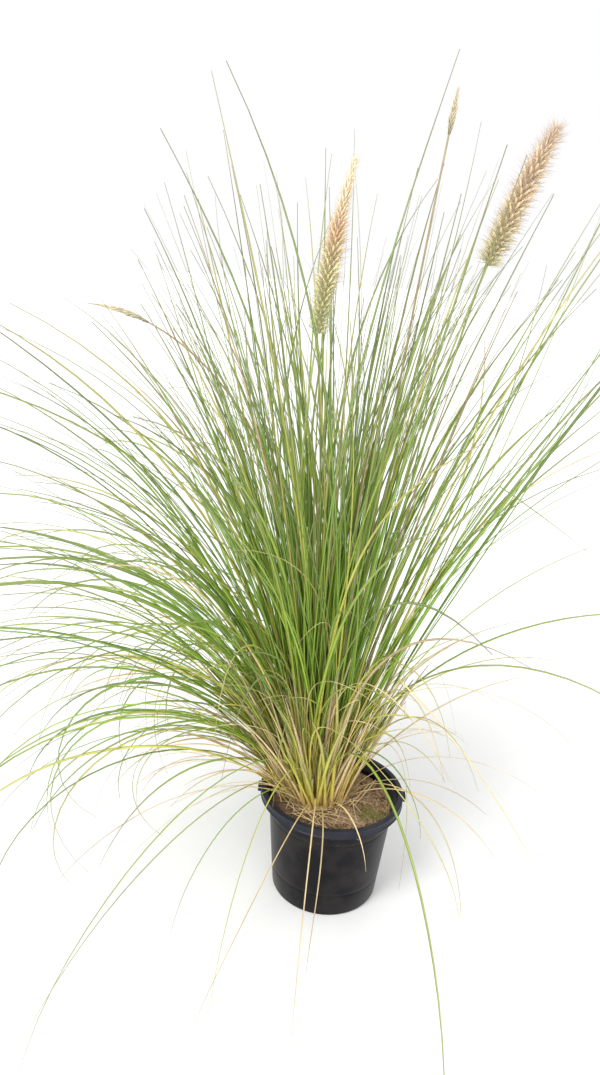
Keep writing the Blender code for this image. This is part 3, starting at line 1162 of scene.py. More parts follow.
@dataclass
class Litter:
    """Dry straw that lies on the mix on the left and in front, and curls up on the right."""

    crown: Vector
    tree: StrandTree
    height: Callable[[float, float], float]
    reach: float = 0.066
    stations: int = 15
    least_stations: int = 4
    lying: int = 46
    curled: int = 14
    start_radius: Span = (0.022, 0.058)
    length: Span = (0.040, 0.110)
    width: Span = (0.0006, 0.0013)
    taper: float = 0.7
    clearance: float = 0.0014
    propped: float = 0.004
    seed: int = 23

    def strand(self, rng: np.random.Generator, azimuth: float, curl: float, arch: float) -> Strand:
        """Lays one straw.

        Args:
            rng: the seeded source of chance.
            azimuth: where it starts round the crown.
            curl: how many degrees it turns along its length.
            arch: how high its middle rises.

        Returns:
            The straw.
        """
        angle = math.radians(azimuth)
        outward = Vector((math.cos(angle), math.sin(angle)))
        place = self.crown.xy + outward * rng.uniform(*self.start_radius)
        heading = azimuth + rng.choice((-90, 90)) + rng.normal(0, 34)
        step = rng.uniform(*self.length) / (self.stations - 1)
        points = []
        for i in range(self.stations):
            t = i / (self.stations - 1)
            if place.length > self.reach:
                break
            rise = self.clearance + arch * math.sin(math.pi * t) + self.propped * (1 - t)
            points.append(Vector((place.x, place.y, self.height(place.x, place.y) + rise)))
            turn = math.radians(heading + curl * t)
            place = place + Vector((math.cos(turn), math.sin(turn))) * step
        widest = rng.uniform(*self.width)
        shares = [i / (self.stations - 1) for i in range(len(points))]
        widths = [widest * (1 - self.taper * share**2) for share in shares]
        return Strand(points, widths, rng.uniform(0.88, 0.99))

    def build(self) -> None:
        """Lays all the straw as one piece."""
        rng = np.random.default_rng(self.seed)
        strands = []
        for _ in range(self.lying):
            strands.append(self.strand(rng, rng.uniform(150, 300), rng.normal(0, 14), rng.uniform(0, 0.006)))
        for _ in range(self.curled):
            azimuth = rng.uniform(-70, 20)
            curl = rng.choice((-1, 1)) * rng.uniform(20, 90)
            strands.append(self.strand(rng, azimuth, curl, rng.uniform(0.006, 0.024)))
        strands = [strand for strand in strands if len(strand.points) >= self.least_stations]
        settle(self.tree.sweep("straw_litter", strands, Sides=5, Flatness=0.4), Slot.DRY)


# ---------------------------------------------------------------- seed heads


@dataclass(frozen=True)
class HeadFinish:
    """A seed head's colours from its foot to its top, for the spikelets and for the bristles, with painted
    shade on the spikelets.
    """

    name: str
    spikelets: Stops
    bristle_foot: Stops
    bristle_tip: Stops
    columns: int = 16
    roughness: float = 0.7
    gloss: float = 0.25
    painted_shade_foot: float = 0.42
    painted_shade_tip: float = 1.10
    uneven: Span = (0.85, 1.15)

    def material(self) -> bpy.types.Material:
        """Makes the material: the first half of the columns are spikelets and the rest bristles."""
        constants = {"Roughness": self.roughness, "Specular IOR Level": self.gloss}
        material, tree, shader = principled(self.name, constants)
        u, along = tree.own_map()
        column = tree.times(u, float(self.columns))
        recipe = tree.math("FLOOR", column)
        out = tree.math("FRACT", column)
        chance = tree.recipe_chance(recipe).outputs[0]
        body = tree.ramp(along, self.spikelets)
        # painted shade: each spikelet darkens from its tip towards its foot deep in the head, for the shade
        # between the rows
        shade = tree.remap(out, 0.05, 0.7, self.painted_shade_foot, self.painted_shade_tip)
        husk = tree.shaded(body, tree.times(shade, tree.remap(chance, 0.0, 1.0, *self.uneven)))
        foot = tree.ramp(along, self.bristle_foot)
        awn = tree.mix_colour(tree.remap(out, 0.25, 0.9), foot, tree.ramp(along, self.bristle_tip))
        is_bristle = tree.math("GREATER_THAN", u, 0.5)
        tree.feed(shader.inputs["Base Color"], tree.mix_colour(is_bristle, husk, awn))
        return material


@dataclass(frozen=True)
class HeadShape:
    """A seed head's sizes; the last three rows run evenly from its foot to its top."""

    core: float
    rows: int
    whorl: int
    spikelet: float
    bristles: int
    bristle: float
    fullness: tuple[float, ...]
    splay: tuple[float, ...]
    fuzz: tuple[float, ...]


HEAD_SHAPES = {
    "centre": HeadShape(
        core=0.0070,
        rows=42,
        whorl=8,
        spikelet=0.0108,
        bristles=5,
        bristle=0.0160,
        fullness=(0.75, 1.0, 0.95, 0.80, 0.42),
        splay=(56, 50, 42, 17, 8),
        fuzz=(0.9, 1.0, 1.0, 0.66, 0.55),
    ),
    "right": HeadShape(
        core=0.0072,
        rows=30,
        whorl=8,
        spikelet=0.0128,
        bristles=6,
        bristle=0.0185,
        fullness=(0.85, 1.0, 1.0, 0.90, 0.50),
        splay=(70, 60, 54, 48, 24),
        fuzz=(0.9, 1.0, 1.0, 0.95, 0.85),
    ),
    "small": HeadShape(
        core=0.0036,
        rows=16,
        whorl=6,
        spikelet=0.0065,
        bristles=4,
        bristle=0.0070,
        fullness=(0.6, 1.0, 1.0, 0.7, 0.25),
        splay=(16, 15, 12, 10, 6),
        fuzz=(0.6, 0.8, 0.8, 0.7, 0.7),
    ),
    "left": HeadShape(
        core=0.0040,
        rows=26,
        whorl=6,
        spikelet=0.0070,
        bristles=3,
        bristle=0.0060,
        fullness=(0.5, 1.0, 1.0, 0.55, 0.10),
        splay=(12, 12, 10, 8, 5),
        fuzz=(0.4, 0.6, 0.6, 0.6, 0.9),
    ),
}


class SeedHeadTree(GeometryTree):
    """Covers a chain of points with turns of spikelets and sets bristles between them."""

    HUSK_RADIUS = 0.095
    NEEDLE_RADIUS = 0.022
    GOLDEN_ANGLE = 137.5
    CORE_SIDES = 8

    def __init__(self, material: bpy.types.Material, columns: int) -> None:
        """Builds the tree.

        Args:
            material: what the head wears.
            columns: the number of colour recipes side by side in the map.
        """
        super().__init__(
            "seed_head", Spikelets=240, Whorl=8.5, Length=0.008, Bristles=12, Bristle=0.010, Seed=5
        )
        self.columns = columns
        curve = self.add("GeometryNodeMeshToCurve", {0: self.given("Geometry")}).outputs[0]
        step = self.math("DIVIDE", FULL_TURN, self.given("Whorl"))
        length = self.scaled_along(self.given("Length"), "size")
        husk = self.spindle()
        spikelets = self.scatter(curve, self.given("Spikelets"), husk, step, 4.0, length, (0.85, 1.15), 0.0)
        count = self.times(self.given("Spikelets"), self.given("Bristles"))
        length = self.scaled_along(self.given("Bristle"), "height")
        step = self.GOLDEN_ANGLE
        bristles = self.scatter(curve, count, self.needle(), step, 14.0, length, (0.6, 1.2), 8.0)
        half = self.columns // 2
        spikelets = self.head_map(spikelets, 0.0, float(half))
        bristles = self.head_map(bristles, float(half), float(half))
        core = self.core(curve)
        joined = self.add("GeometryNodeJoinGeometry")
        for part in (bristles, spikelets, core):
            self.tree.links.new(part, joined.inputs[0])
        self.finish(joined.outputs[0], material)

    def spindle(self) -> Socket:
        """One plump pointed husk, one unit long, standing on its foot."""
        ball = self.add("GeometryNodeMeshUVSphere", {"Segments": 5, "Rings": 4, "Radius": 0.5}).outputs[0]
        girth = 2 * self.HUSK_RADIUS
        moved = {"Geometry": ball, "Translation": (0, 0, 0.5), "Scale": (girth, girth, 1)}
        return self.labelled(self.add("GeometryNodeTransform", moved).outputs[0], self.HUSK_RADIUS)

    def needle(self) -> Socket:
        """One bristle, one unit long, standing on its foot."""
        inputs = {"Vertices": 3, "Radius Top": 0.0, "Radius Bottom": self.NEEDLE_RADIUS, "Depth": 1.0}
        return self.labelled(self.add("GeometryNodeMeshCone", inputs).outputs[0], self.NEEDLE_RADIUS)

    def scaled_along(self, length: object, name: str) -> Socket:
        """Scales a length by an attribute that changes along the head."""
        return self.times(length, self.named(name))

    def labelled(self, mesh: object, radius: float) -> Socket:
        """Stores how far out and how far round each point of a small part is."""
        x, _, z = self.parts(self.place())
        mesh = self.store(mesh, "across", z)
        return self.store(mesh, "turn", self.math("DIVIDE", x, radius))

    def scatter(
        self,
        curve: object,
        count: object,
        part: object,
        step: object,
        shake: float,
        length: object,
        stretch: Span,
        lift: float,
    ) -> Socket:
        """Sets copies of a small part round the chain.

        Args:
            curve: the chain.
            count: how many copies.
            part: the part.
            step: the turn in degrees from one copy to the next.
            shake: how many degrees each one may be off.
            length: the part's length at each place on the head.
            stretch: the smallest and largest share of the length.
            lift: degrees added to the head's own splay.

        Returns:
            The copies as one mesh.
        """
        seed = self.given("Seed")
        spread = self.add("GeometryNodeCurveToPoints", {"Curve": curve, "Count": count}, mode="COUNT")
        tangent = spread.outputs["Tangent"]
        normal = spread.outputs["Normal"]
        turn = self.plus(self.times(self.index(), step), self.random(-shake, shake, seed))
        turn = self.math("RADIANS", turn)
        other = self.vector_math("CROSS_PRODUCT", tangent, normal)
        outward = self.leant(normal, other, turn)
        tip = self.random(lift - shake, lift + 1.6 * shake, self.plus(seed, 1.0))
        splay = self.math("RADIANS", self.plus(self.named("spread"), tip))
        aim = self.leant(tangent, outward, splay)
        grown = self.times(length, self.random(*stretch, self.plus(seed, 2.0)))
        points = spread.outputs["Points"]
        points = self.store(points, "kink", aim, "FLOAT_VECTOR")
        points = self.store(points, "length", grown)
        points = self.store(points, "tone", self.random(0.0, 0.999, self.plus(seed, 3.0)))
        moved = self.scaled(outward, self.times(self.named("inner"), 0.75))
        points = self.add("GeometryNodeSetPosition", {"Geometry": points, "Offset": moved}).outputs[0]
        upright = {"Vector": self.named("kink", "FLOAT_VECTOR")}
        rotation = self.add("FunctionNodeAlignRotationToVector", upright, axis="Z").outputs[0]
        inputs = {"Points": points, "Instance": part, "Rotation": rotation, "Scale": self.named("length")}
        copies = self.add("GeometryNodeInstanceOnPoints", inputs).outputs[0]
        return self.add("GeometryNodeRealizeInstances", {0: copies}).outputs[0]

    def core(self, curve: object) -> Socket:
        """The solid middle of the head, which closes the gaps between the husks and is darkened there as
        painted shade.
        """
        sizes = {"Resolution": self.CORE_SIDES, "Radius": 1.0}
        circle = self.add("GeometryNodeCurvePrimitiveCircle", sizes).outputs[0]
        # painted shade: the core's place across stays low, so it takes the darkest end of the spikelets'
        # painted shade
        dark = self.times(self.both_ways(float(self.CORE_SIDES)), 0.15)
        circle = self.store(circle, "across", dark)
        return self.head_map(self.swept(curve, circle, self.named("inner")), 0.0, 1.0)

    def head_map(self, mesh: object, first: float, columns: float) -> Socket:
        """Stores the bake map: the recipe and the place out from the foot, then the place on the head."""
        recipe = self.plus(self.math("FLOOR", self.times(self.named("tone"), columns)), first)
        u = self.math("DIVIDE", self.plus(recipe, self.inset("across", 0.80)), float(self.columns))
        v = self.plus(self.inset("along", 0.94), self.times(self.named("turn"), 0.012))
        return self.store(mesh, BAKE_MAP, self.vector(u, v, 0.0), "FLOAT2", "CORNER")

    def grow(self, name: str, points: list[Vector], shape: HeadShape) -> bpy.types.Object:
        """Grows one head.

        Args:
            name: the piece's name.
            points: the chain through the middle of the head.
            shape: the head's sizes.

        Returns:
            The finished mesh object.
        """
        count = len(points)
        along = [i / (count - 1) for i in range(count)]
        stops = np.linspace(0.0, 1.0, len(shape.fullness))
        full = np.interp(along, stops, shape.fullness)
        mesh = bpy.data.meshes.new(name + "_chain")
        mesh.from_pydata(points, [(i, i + 1) for i in range(count - 1)], [])
        layers = {
            "along": along,
            "size": full,
            "inner": full * shape.core / 2,
            "height": np.interp(along, stops, shape.fuzz),
            "spread": np.interp(along, stops, shape.splay),
        }
        for label, numbers in layers.items():
            layer = mesh.attributes.new(label, "FLOAT", "POINT")
            layer.data.foreach_set("value", np.asarray(numbers, dtype=np.float32))
        return self.apply(
            name,
            mesh,
            Spikelets=shape.rows * shape.whorl,
            Whorl=shape.whorl + 0.5,
            Length=shape.spikelet,
            Bristles=shape.bristles,
            Bristle=shape.bristle,
        )


@dataclass
class SeedHeads:
    """The two full heads, the closed small one and the thin nodding one on the left."""

    crown: Vector
    stems: FlowerStems
    stations: int = 25
    foot_share: float = 0.025
    tip_share: float = 0.060
    open_finish: HeadFinish = HeadFinish(
        "open_head",
        (
            (0.00, (0.66, 0.62, 0.36)),
            (0.25, (0.78, 0.64, 0.40)),
            (0.60, (0.82, 0.63, 0.42)),
            (1.00, (0.86, 0.70, 0.50)),
        ),
        ((0.00, (0.60, 0.56, 0.36)), (1.00, (0.72, 0.58, 0.44))),
        ((0.00, (0.34, 0.31, 0.24)), (0.50, (0.44, 0.32, 0.29)), (1.00, (0.46, 0.36, 0.31))),
    )
    fresh_finish: HeadFinish = HeadFinish(
        "fresh_head",
        (
            (0.00, (0.70, 0.70, 0.36)),
            (0.35, (0.80, 0.74, 0.42)),
            (0.55, (0.88, 0.64, 0.38)),
            (0.72, (0.92, 0.78, 0.54)),
            (1.00, (0.94, 0.86, 0.64)),
        ),
        ((0.00, (0.54, 0.56, 0.32)), (0.55, (0.74, 0.58, 0.42)), (1.00, (0.88, 0.80, 0.60))),
        ((0.00, (0.32, 0.32, 0.24)), (0.50, (0.42, 0.31, 0.27)), (1.00, (0.62, 0.56, 0.44))),
    )
    closed_finish: HeadFinish = HeadFinish(
        "closed_head",
        ((0.00, (0.46, 0.44, 0.30)), (0.50, (0.70, 0.60, 0.42)), (1.00, (0.76, 0.66, 0.48))),
        ((0.00, (0.52, 0.46, 0.34)), (1.00, (0.70, 0.60, 0.44))),
        ((0.00, (0.38, 0.33, 0.27)), (1.00, (0.50, 0.43, 0.35))),
    )

    def finishes(self) -> dict[str, HeadFinish]:
        """Each head's finish."""
        return {
            "centre": self.fresh_finish,
            "right": self.open_finish,
            "small": self.closed_finish,
            "left": self.closed_finish,
        }

    def build(self) -> None:
        """Grows the four heads on their stems."""
        trees: dict[str, SeedHeadTree] = {}
        for name, finish in self.finishes().items():
            if finish.name not in trees:
                trees[finish.name] = SeedHeadTree(finish.material(), finish.columns)
            arch, length = self.stems.arches[name]
            start = 1 - (1 - self.foot_share) * length / arch.length
            end = 1 - self.tip_share * length / arch.length
            points = arch.path(self.crown, self.stations, start, end)
            piece = trees[finish.name].grow(f"flower_{name}", points, HEAD_SHAPES[name])
            settle(piece, Slot.HEAD, f"seed_head_{name}")


# ----------------------------------------------------------------------- pot


def turned(name: str, profile: list[tuple[float, float]], segments: int) -> bpy.types.Mesh:
    """Turns a profile about the upright axis.

    Args:
        name: the mesh's name.
        profile: (radius, height) points; the first and the last lie on the axis.
        segments: how many steps there are in a turn.

    Returns:
        A closed, smooth mesh.
    """
    shape = bmesh.new()
    rings = []
    for radius, height in profile:
        if radius == 0:
            rings.append([shape.verts.new((0.0, 0.0, height))])
            continue
        angles = [math.tau * i / segments for i in range(segments)]
        rings.append([shape.verts.new((radius * math.cos(a), radius * math.sin(a), height)) for a in angles])
    for upper, lower in zip(rings, rings[1:]):
        for i in range(segments):
            j = (i + 1) % segments
            above = [upper[i % len(upper)], upper[j % len(upper)]]
            below = [lower[j % len(lower)], lower[i % len(lower)]]
            corners = {id(vertex): vertex for vertex in above + below}
            shape.faces.new(corners.values())
    bmesh.ops.recalc_face_normals(shape, faces=shape.faces)
    mesh = bpy.data.meshes.new(name)
    shape.to_mesh(mesh)
    shape.free()
    mesh.shade_smooth()
    return mesh


@dataclass(frozen=True)
class PlasticFinish:
    """Satin black plastic with faint brownish dust, and a painted bluish highlight that makes the whole lip
    lighter than the body.
    """

    body: Colour = (0.0040, 0.0037, 0.0054)
    # painted highlight: the lip's lighter bluish grey stands in for light caught on the lip, not a colour of
    # the plastic
    lip: Colour = (0.018, 0.021, 0.032)
    dust: Colour = (0.080, 0.062, 0.055)
    roughness: float = 0.33
    gloss: float = 0.14
    cloud_scale: float = 38.0
    cloud_strength: float = 0.22
    speck_scale: float = 900.0
    speck_strength: float = 0.55

    def material(self, lip_bottom: float) -> bpy.types.Material:
        """Makes the material.

        Args:
            lip_bottom: the height at which the lip begins.

        Returns:
            The material.
        """
        constants = {"Roughness": self.roughness, "Specular IOR Level": self.gloss}
        material, tree, shader = principled("pot_plastic", constants)
        place = tree.add("ShaderNodeTexCoord").outputs["Object"]
        # painted highlight: everything above the lip's foot takes the lighter bluish lip colour
        lip_highlight_mask = tree.remap(tree.parts(place)[2], lip_bottom - 0.001, lip_bottom + 0.001)
        colour = tree.mix_colour(lip_highlight_mask, self.body, self.lip)
        cloud = tree.noise(place, self.cloud_scale, 4.0)
        colour = tree.mix_colour(tree.remap(cloud, 0.45, 0.75, 0.0, self.cloud_strength), colour, self.dust)
        speck = tree.noise(place, self.speck_scale, 1.0)
        colour = tree.mix_colour(tree.remap(speck, 0.70, 0.76, 0.0, self.speck_strength), colour, self.dust)
        tree.feed(shader.inputs["Base Color"], colour)
        return material


@dataclass(frozen=True)
class Pot:
    """The round nursery pot: a tapered body, a flanged lip with a hanging skirt, lugs and drain holes."""

    lip_radius: float
    height: float
    base_radius: float = 0.0635
    body_top_radius: float = 0.0745
    wall: float = 0.0016
    lip_height: float = 0.0105
    flange: float = 0.0065
    neck_drop: float = 0.0125
    corner: float = 0.003
    neck_rise: float = 0.003
    neck_round: float = 0.0012
    bead: float = 0.0012
    band_depth: float = 0.0010
    step: float = 0.0002
    skirt_step: float = 0.0004
    ring_depth: float = 0.0002
    ring_heights: tuple[float, ...] = (0.104, 0.030)
    drain_holes: int = 6
    drain_radius: float = 0.0045
    drain_circle: float = 0.046
    lug: tuple[float, float, float] = (0.005, 0.011, 0.007)
    lug_azimuths: tuple[int, int] = (4, 184)
    segments: int = 144
    drain_segments: int = 24
    sharp_angle: float = 40.0

    @property
    def floor(self) -> float:
        """Height of the inside floor, which is thicker than the wall."""
        return 1.4 * self.wall

    def wall_radius(self, height: float) -> float:
        """Radius of the body's outer wall at a height."""
        top = self.height - self.neck_drop
        rise = (height - self.corner) / (top - self.corner)
        return self.base_radius + (self.body_top_radius - self.base_radius) * rise

    def profile(self) -> list[tuple[float, float]]:
        """From the middle of the inside floor, up the inside, over the lip and down the outside."""
        top = self.height
        neck = self.lip_radius - self.flange
        ledge = top - self.neck_drop
        floor = self.floor
        low = top - self.lip_height
        skirt = self.lip_radius - self.wall
        points = [
            (0.0, floor),
            (self.base_radius - self.wall - self.corner, floor),
            (self.wall_radius(floor + self.corner) - self.wall, floor + self.corner),
            (self.body_top_radius - self.wall, ledge),
            (neck, ledge + self.neck_rise),
            (neck, top - self.neck_round),
            (neck + self.neck_round / 3, top - self.neck_round / 4),
            (neck + self.neck_round, top),
            (self.lip_radius - self.bead, top),
            (self.lip_radius - 0.3 * self.bead, top - 0.3 * self.bead),
            (self.lip_radius, top - self.bead),
            (self.lip_radius - 0.0003, top - 2.2 * self.bead),
            (self.lip_radius - self.band_depth, top - 2.8 * self.bead),
            (self.lip_radius - self.band_depth, low + 1.6 * self.bead),
            (self.lip_radius - self.step, low + 0.9 * self.bead),
            (self.lip_radius - self.step, low + 0.2 * self.bead),
            (self.lip_radius - 3 * self.step, low),
            (skirt - self.skirt_step, low),
            (skirt - self.skirt_step, top - self.wall),
            (neck + self.wall, top - self.wall),
            (neck + self.wall, ledge + 0.0025),
            (self.body_top_radius, ledge),
        ]
        groove = ((0.004, 0.0), (0.0012, 0.0), (0.0005, self.ring_depth))
        below = tuple((-offset, depth) for offset, depth in reversed(groove))
        for ring in self.ring_heights:
            for offset, depth in groove + below:
                points.append((self.wall_radius(ring + offset) - depth, ring + offset))
        return points + [
            (self.base_radius, self.corner),
            (self.base_radius - 0.3 * self.corner, 0.3 * self.corner),
            (self.base_radius - self.corner, 0.0),
            (0.0, 0.0),
        ]

    def build(self) -> None:
        """Turns the pot, cuts the drain holes and adds the lugs."""
        material = PlasticFinish().material(self.height - self.lip_height)
        pot = linked("pot_shell", turned("pot_shell", self.profile(), self.segments))
        tools = []
        for i in range(self.drain_holes):
            angle = math.tau * (i + 0.5) / self.drain_holes
            place = (self.drain_circle * math.cos(angle), self.drain_circle * math.sin(angle), 0.0)
            bpy.ops.mesh.primitive_cylinder_add(
                vertices=self.drain_segments, radius=self.drain_radius, depth=0.02, location=place
            )
            tools.append((bpy.context.object, "DIFFERENCE"))
        for azimuth in self.lug_azimuths:
            angle = math.radians(azimuth)
            reach = self.lip_radius + 0.1 * self.lug[0]
            place = (reach * math.cos(angle), reach * math.sin(angle), self.height - 0.6 * self.lip_height)
            bpy.ops.mesh.primitive_cube_add(size=1, location=place, rotation=(0, 0, angle), scale=self.lug)
            tools.append((bpy.context.object, "UNION"))
        for tool, operation in tools:
            boolean = pot.modifiers.new(tool.name, "BOOLEAN")
            boolean.operation = operation
            boolean.object = tool
            boolean.solver = "EXACT"
        graph = bpy.context.evaluated_depsgraph_get()
        mesh = bpy.data.meshes.new_from_object(pot.evaluated_get(graph), depsgraph=graph)
        pot.modifiers.clear()
        pot.data = mesh
        for tool, _ in tools:
            bpy.data.objects.remove(tool)
        mesh.materials.clear()
        mesh.materials.append(material)
        mesh.set_sharp_from_angle(angle=math.radians(self.sharp_angle))
        settle(pot, Slot.POT, "pot")


# --------------------------------------------------------------- growing mix


@dataclass(frozen=True)
class MixFinish:
    """Sandy brown mix with a pale crust and a mossy patch on the right, and a painted shadow that darkens it
    under the clump.
    """

    # dark is the darkest grain of the mix and also the colour of its painted shadow
    dark: Colour = (0.075, 0.045, 0.026)
    middle: Colour = (0.270, 0.175, 0.100)
    pale: Colour = (0.470, 0.330, 0.210)
    moss: Colour = (0.150, 0.145, 0.040)
    moss_place: tuple[float, float, float] = (0.050, -0.022, 0.118)
    moss_radius: float = 0.021
    grain_scale: float = 260.0
    crust_scale: float = 30.0
    ragged: float = 0.008

    def material(self) -> bpy.types.Material:
        """Makes the material."""
        material, tree, shader = principled("growing_mix", {"Roughness": 0.95, "Specular IOR Level": 0.15})
        place = tree.add("ShaderNodeTexCoord").outputs["Object"]
        grain = tree.noise(place, self.grain_scale, 6.0, 0.7)
        colour = tree.ramp(grain, ((0.40, self.dark), (0.50, self.middle), (0.64, self.pale)))
        crust = tree.remap(tree.noise(place, self.crust_scale, 2.0), 0.50, 0.62, 0.0, 0.65)
        colour = tree.mix_colour(crust, colour, self.pale)
        # painted shadow: towards -X, under the clump, the mix turns to its dark colour
        painted_shadow = tree.remap(tree.parts(place)[0], 0.02, -0.04, 0.0, 0.6)
        colour = tree.mix_colour(painted_shadow, colour, self.dark)
        apart = tree.add("ShaderNodeVectorMath", {0: place, 1: self.moss_place}, operation="DISTANCE")
        edge = tree.remap(tree.noise(place, 120.0, 3.0), 0.3, 0.7, -self.ragged, self.ragged)
        away = tree.plus(apart.outputs["Value"], edge)
        mossy = tree.remap(away, self.moss_radius, 0.5 * self.moss_radius, 0.0, 0.75)
        colour = tree.mix_colour(mossy, colour, self.moss)
        tree.feed(shader.inputs["Base Color"], colour)
        return material


class CrumbTree(GeometryTree):
    """Scatters lumps of mix over the upward faces of a mesh."""

    LUMPINESS = 0.7
    SMALLNESS = 2.0
    STRETCH = ((0.7, 0.7, 0.5), (1.3, 1.3, 0.9))
    TURNS = ((0, 0, 0), (6.3, 6.3, 6.3))

    def __init__(self, material: bpy.types.Material) -> None:
        """Args: material: what the crumbs wear."""
        super().__init__("crumbs_on_mix", Density=160000.0, Smallest=0.0008, Largest=0.0052, Seed=8)
        seed = self.given("Seed")
        normal = self.add("GeometryNodeInputNormal").outputs[0]
        upward = self.math("GREATER_THAN", self.parts(normal)[2], 0.5)
        spread = self.add("GeometryNodeDistributePointsOnFaces", distribute_method="RANDOM")
        self.feed(spread.inputs["Mesh"], self.given("Geometry"))
        self.feed(spread.inputs["Selection"], upward)
        self.feed(spread.inputs["Density"], self.given("Density"))
        self.feed(spread.inputs["Seed"], seed)
        lump = self.add("GeometryNodeMeshIcoSphere", {"Radius": 0.5, "Subdivisions": 1}).outputs[0]
        push = self.add("ShaderNodeTexNoise", {"Scale": 2.3, "Detail": 1.0}).outputs[1]
        push = self.scaled(self.vector_math("SUBTRACT", push, (0.5, 0.5, 0.5)), self.LUMPINESS)
        lump = self.add("GeometryNodeSetPosition", {"Geometry": lump, "Offset": push}).outputs[0]
        chance = self.random(0.0, 1.0, self.plus(seed, 1.0))
        largeness = self.math("POWER", chance, self.SMALLNESS)
        size = self.mix_number(largeness, self.given("Smallest"), self.given("Largest"))
        stretch = self.random_vector(*self.STRETCH, seed)
        turn = self.random_vector(*self.TURNS, seed)
        inputs = {
            "Points": spread.outputs["Points"],
            "Instance": lump,
            "Rotation": self.add("FunctionNodeEulerToRotation", {0: turn}).outputs[0],
            "Scale": self.scaled(stretch, size),
        }
        self.finish(self.add("GeometryNodeInstanceOnPoints", inputs).outputs[0], material)


@dataclass(frozen=True)
class GrowingMix:
    """The mix that fills the pot, with an uneven top and loose crumbs on it."""

    pot: Pot
    top: float
    rings: int = 34
    segments: int = 112
    unevenness: float = 0.0030
    grain: float = 0.0017
    gap: float = 0.0003
    settling: float = 0.0016
    rim_reach: Span = (0.060, 0.012)
    rim_drop: float = 0.0022

    def height(self, x: float, y: float) -> float:
        """Height of the uneven top at a place."""
        swell = noise.noise(Vector((x * 38, y * 38, 1.7)))
        fine = noise.noise(Vector((x * 210, y * 210, 4.2)))
        start, reach = self.rim_reach
        rim = max(0.0, (math.hypot(x, y) - start) / reach)
        uneven = self.unevenness * swell * 0.5 + self.grain * fine
        return self.top - self.settling + uneven - self.rim_drop * rim

    def build(self) -> None:
        """Makes the mix and its crumbs."""
        reach = self.pot.wall_radius(self.top) - self.pot.wall - 2 * self.gap
        radii = [reach * (1 - i / self.rings) for i in range(self.rings)]
        shape = bmesh.new()
        middle = shape.verts.new((0.0, 0.0, self.height(0.0, 0.0)))
        base_reach = self.pot.base_radius - self.pot.wall - self.pot.corner - 2 * self.gap
        low = self.pot.floor + self.gap
        rows = [[shape.verts.new((base_reach * c, base_reach * s, low)) for c, s in self.turns()]]
        for radius in radii:
            places = [(radius * c, radius * s) for c, s in self.turns()]
            rows.append([shape.verts.new((x, y, self.height(x, y))) for x, y in places])
        for lower, upper in zip(rows, rows[1:]):
            for i in range(self.segments):
                j = (i + 1) % self.segments
                shape.faces.new((lower[i], lower[j], upper[j], upper[i]))
        for i in range(self.segments):
            shape.faces.new((rows[-1][i], rows[-1][(i + 1) % self.segments], middle))
        shape.faces.new(rows[0][::-1])
        bmesh.ops.recalc_face_normals(shape, faces=shape.faces)
        mesh = bpy.data.meshes.new("growing_mix")
        shape.to_mesh(mesh)
        shape.free()
        mesh.shade_smooth()
        material = MixFinish().material()
        mesh.materials.append(material)
        crumbs = CrumbTree(material).apply("mix_crumbs", mesh.copy())
        settle(linked("growing_mix", mesh), Slot.SOIL, "soil")
        settle(crumbs, Slot.SOIL)

    def turns(self) -> list[tuple[float, float]]:
        """Cosine and sine of each step round the pot."""
        angles = [math.tau * i / self.segments for i in range(self.segments)]
        return [(math.cos(angle), math.sin(angle)) for angle in angles]


# ---------------------------------------------------------------------- stage


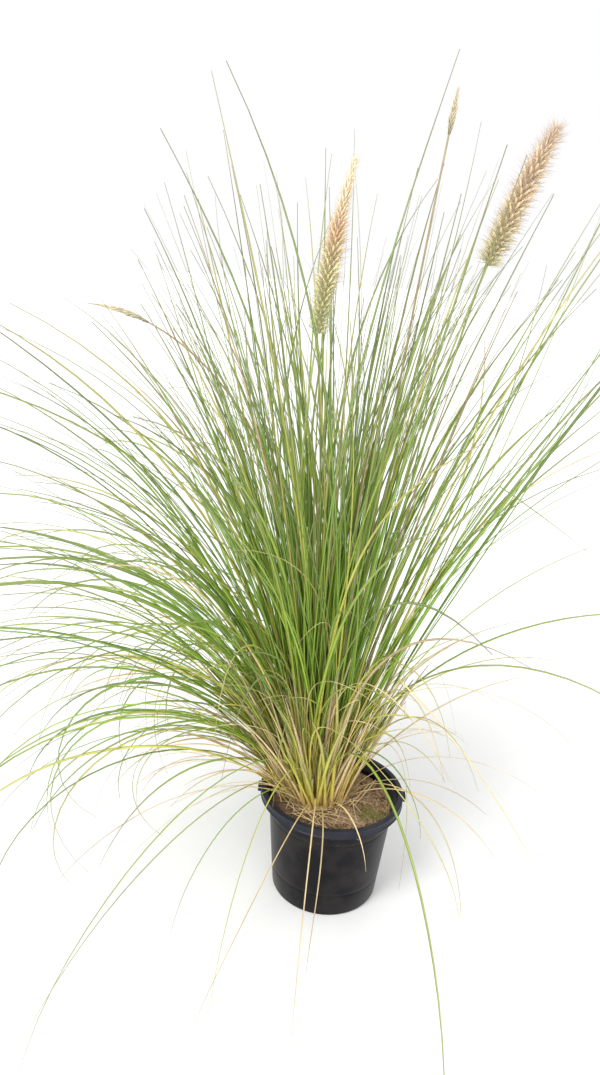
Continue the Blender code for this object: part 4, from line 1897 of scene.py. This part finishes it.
@dataclass(frozen=True)
class Studio:
    """A pale floor, soft light and the camera."""

    lens: float = 18.98
    sensor: float = 24.0
    place: tuple[float, float, float] = (0.0, -0.8757, 0.7272)
    pitch: float = 18.09
    yaw: float = 3.97
    roll: float = 4.33
    floor_size: float = 60.0
    floor_tints: Stops = ((0.3, (0.80, 0.80, 0.80)), (0.7, (0.83, 0.83, 0.83)))

    def camera(self) -> None:
        """Places the camera in front of the clump and above it, looking down and a little tilted."""
        data = bpy.data.cameras.new("camera")
        data.sensor_fit = "VERTICAL"
        data.sensor_height = self.sensor
        data.lens = self.lens
        data.clip_start = 0.01
        camera = bpy.data.objects.new("camera", data)
        camera.location = self.place
        turn = Euler((math.radians(90 - self.pitch), 0.0, math.radians(self.yaw)), "XYZ").to_matrix()
        tilt = Euler((0.0, 0.0, math.radians(self.roll)), "XYZ").to_matrix()
        camera.rotation_euler = (turn @ tilt).to_euler()
        bpy.context.scene.collection.objects.link(camera)
        bpy.context.scene.camera = camera

    def sun(self, name: str, azimuth: float, elevation: float, softness: float, strength: float) -> None:
        """Adds one distant soft light.

        Args:
            name: the light's name.
            azimuth: where it stands, in degrees from +X towards +Y.
            elevation: its height above the horizon in degrees.
            softness: how wide it looks, in degrees.
            strength: its irradiance.
        """
        data = bpy.data.lights.new(name, "SUN")
        data.angle = math.radians(softness)
        data.energy = strength
        lamp = bpy.data.objects.new(name, data)
        turn = math.radians(azimuth)
        rise = math.radians(elevation)
        toward = Vector((math.cos(rise) * math.cos(turn), math.cos(rise) * math.sin(turn), math.sin(rise)))
        lamp.rotation_euler = (-toward).to_track_quat("-Z", "Y").to_euler()
        bpy.context.scene.collection.objects.link(lamp)

    def build(self) -> None:
        """Sets up the floor, the lights and the camera."""
        bpy.ops.mesh.primitive_plane_add(size=self.floor_size)
        floor = bpy.context.object
        floor.name = "floor"
        material, tree, shader = principled("pale_floor", {"Roughness": 0.85})
        place = tree.add("ShaderNodeTexCoord").outputs["Object"]
        tint = tree.ramp(tree.noise(place, 3.0), self.floor_tints)
        tree.feed(shader.inputs["Base Color"], tint)
        floor.data.materials.append(material)
        floor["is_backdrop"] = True
        world = bpy.data.worlds.new("pale_sky")
        world.use_nodes = True
        background = world.node_tree.nodes["Background"]
        background.inputs["Color"].default_value = (1.0, 1.0, 1.0, 1.0)
        background.inputs["Strength"].default_value = 1.0
        bpy.context.scene.world = world
        bpy.context.scene.view_settings.view_transform = "Standard"
        self.sun("key", azimuth=235.0, elevation=52.0, softness=20.0, strength=1.9)
        self.sun("fill", azimuth=285.0, elevation=20.0, softness=50.0, strength=0.8)
        self.camera()


CROWN_MIDDLE = (-0.018, 0.004)
CROWN_RISE = 0.0003
ROOM_MARGIN = 0.02
LOWEST_LEAF = 0.004


def main() -> None:
    """Builds the whole object around the frame."""
    logging.basicConfig(level=logging.INFO, format="%(name)s: %(message)s")
    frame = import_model()
    packed_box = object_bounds()
    LOG.info("frame: %d nodes", len(frame["nodes"]))
    soil_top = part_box("soil")[1].z
    crown = Vector((*CROWN_MIDDLE, soil_top + CROWN_RISE))
    pot_low, pot_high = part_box("pot")
    pot = Pot((pot_high.y - pot_low.y) / 2, pot_high.z)
    pot.build()
    mix = GrowingMix(pot, soil_top)
    mix.build()
    finish = LeafFinish()
    leaf = finish.material()
    margin = Vector((ROOM_MARGIN, ROOM_MARGIN, ROOM_MARGIN))
    room = Room(packed_box[0] - margin, packed_box[1] + margin)
    room.low.z = LOWEST_LEAF
    Foliage(crown, room, LeafTree(leaf, finish.columns)).build()
    Litter(crown, StrandTree(leaf, finish.columns), mix.height).build()
    stem_finish = StemFinish()
    stem_tree = StrandTree(stem_finish.material(), stem_finish.columns)
    stems = FlowerStems(crown, stem_tree)
    stems.build()
    Culms(crown, stem_tree).build()
    SeedHeads(crown, stems).build()
    Studio().build()


if __name__ == "__main__":
    main()
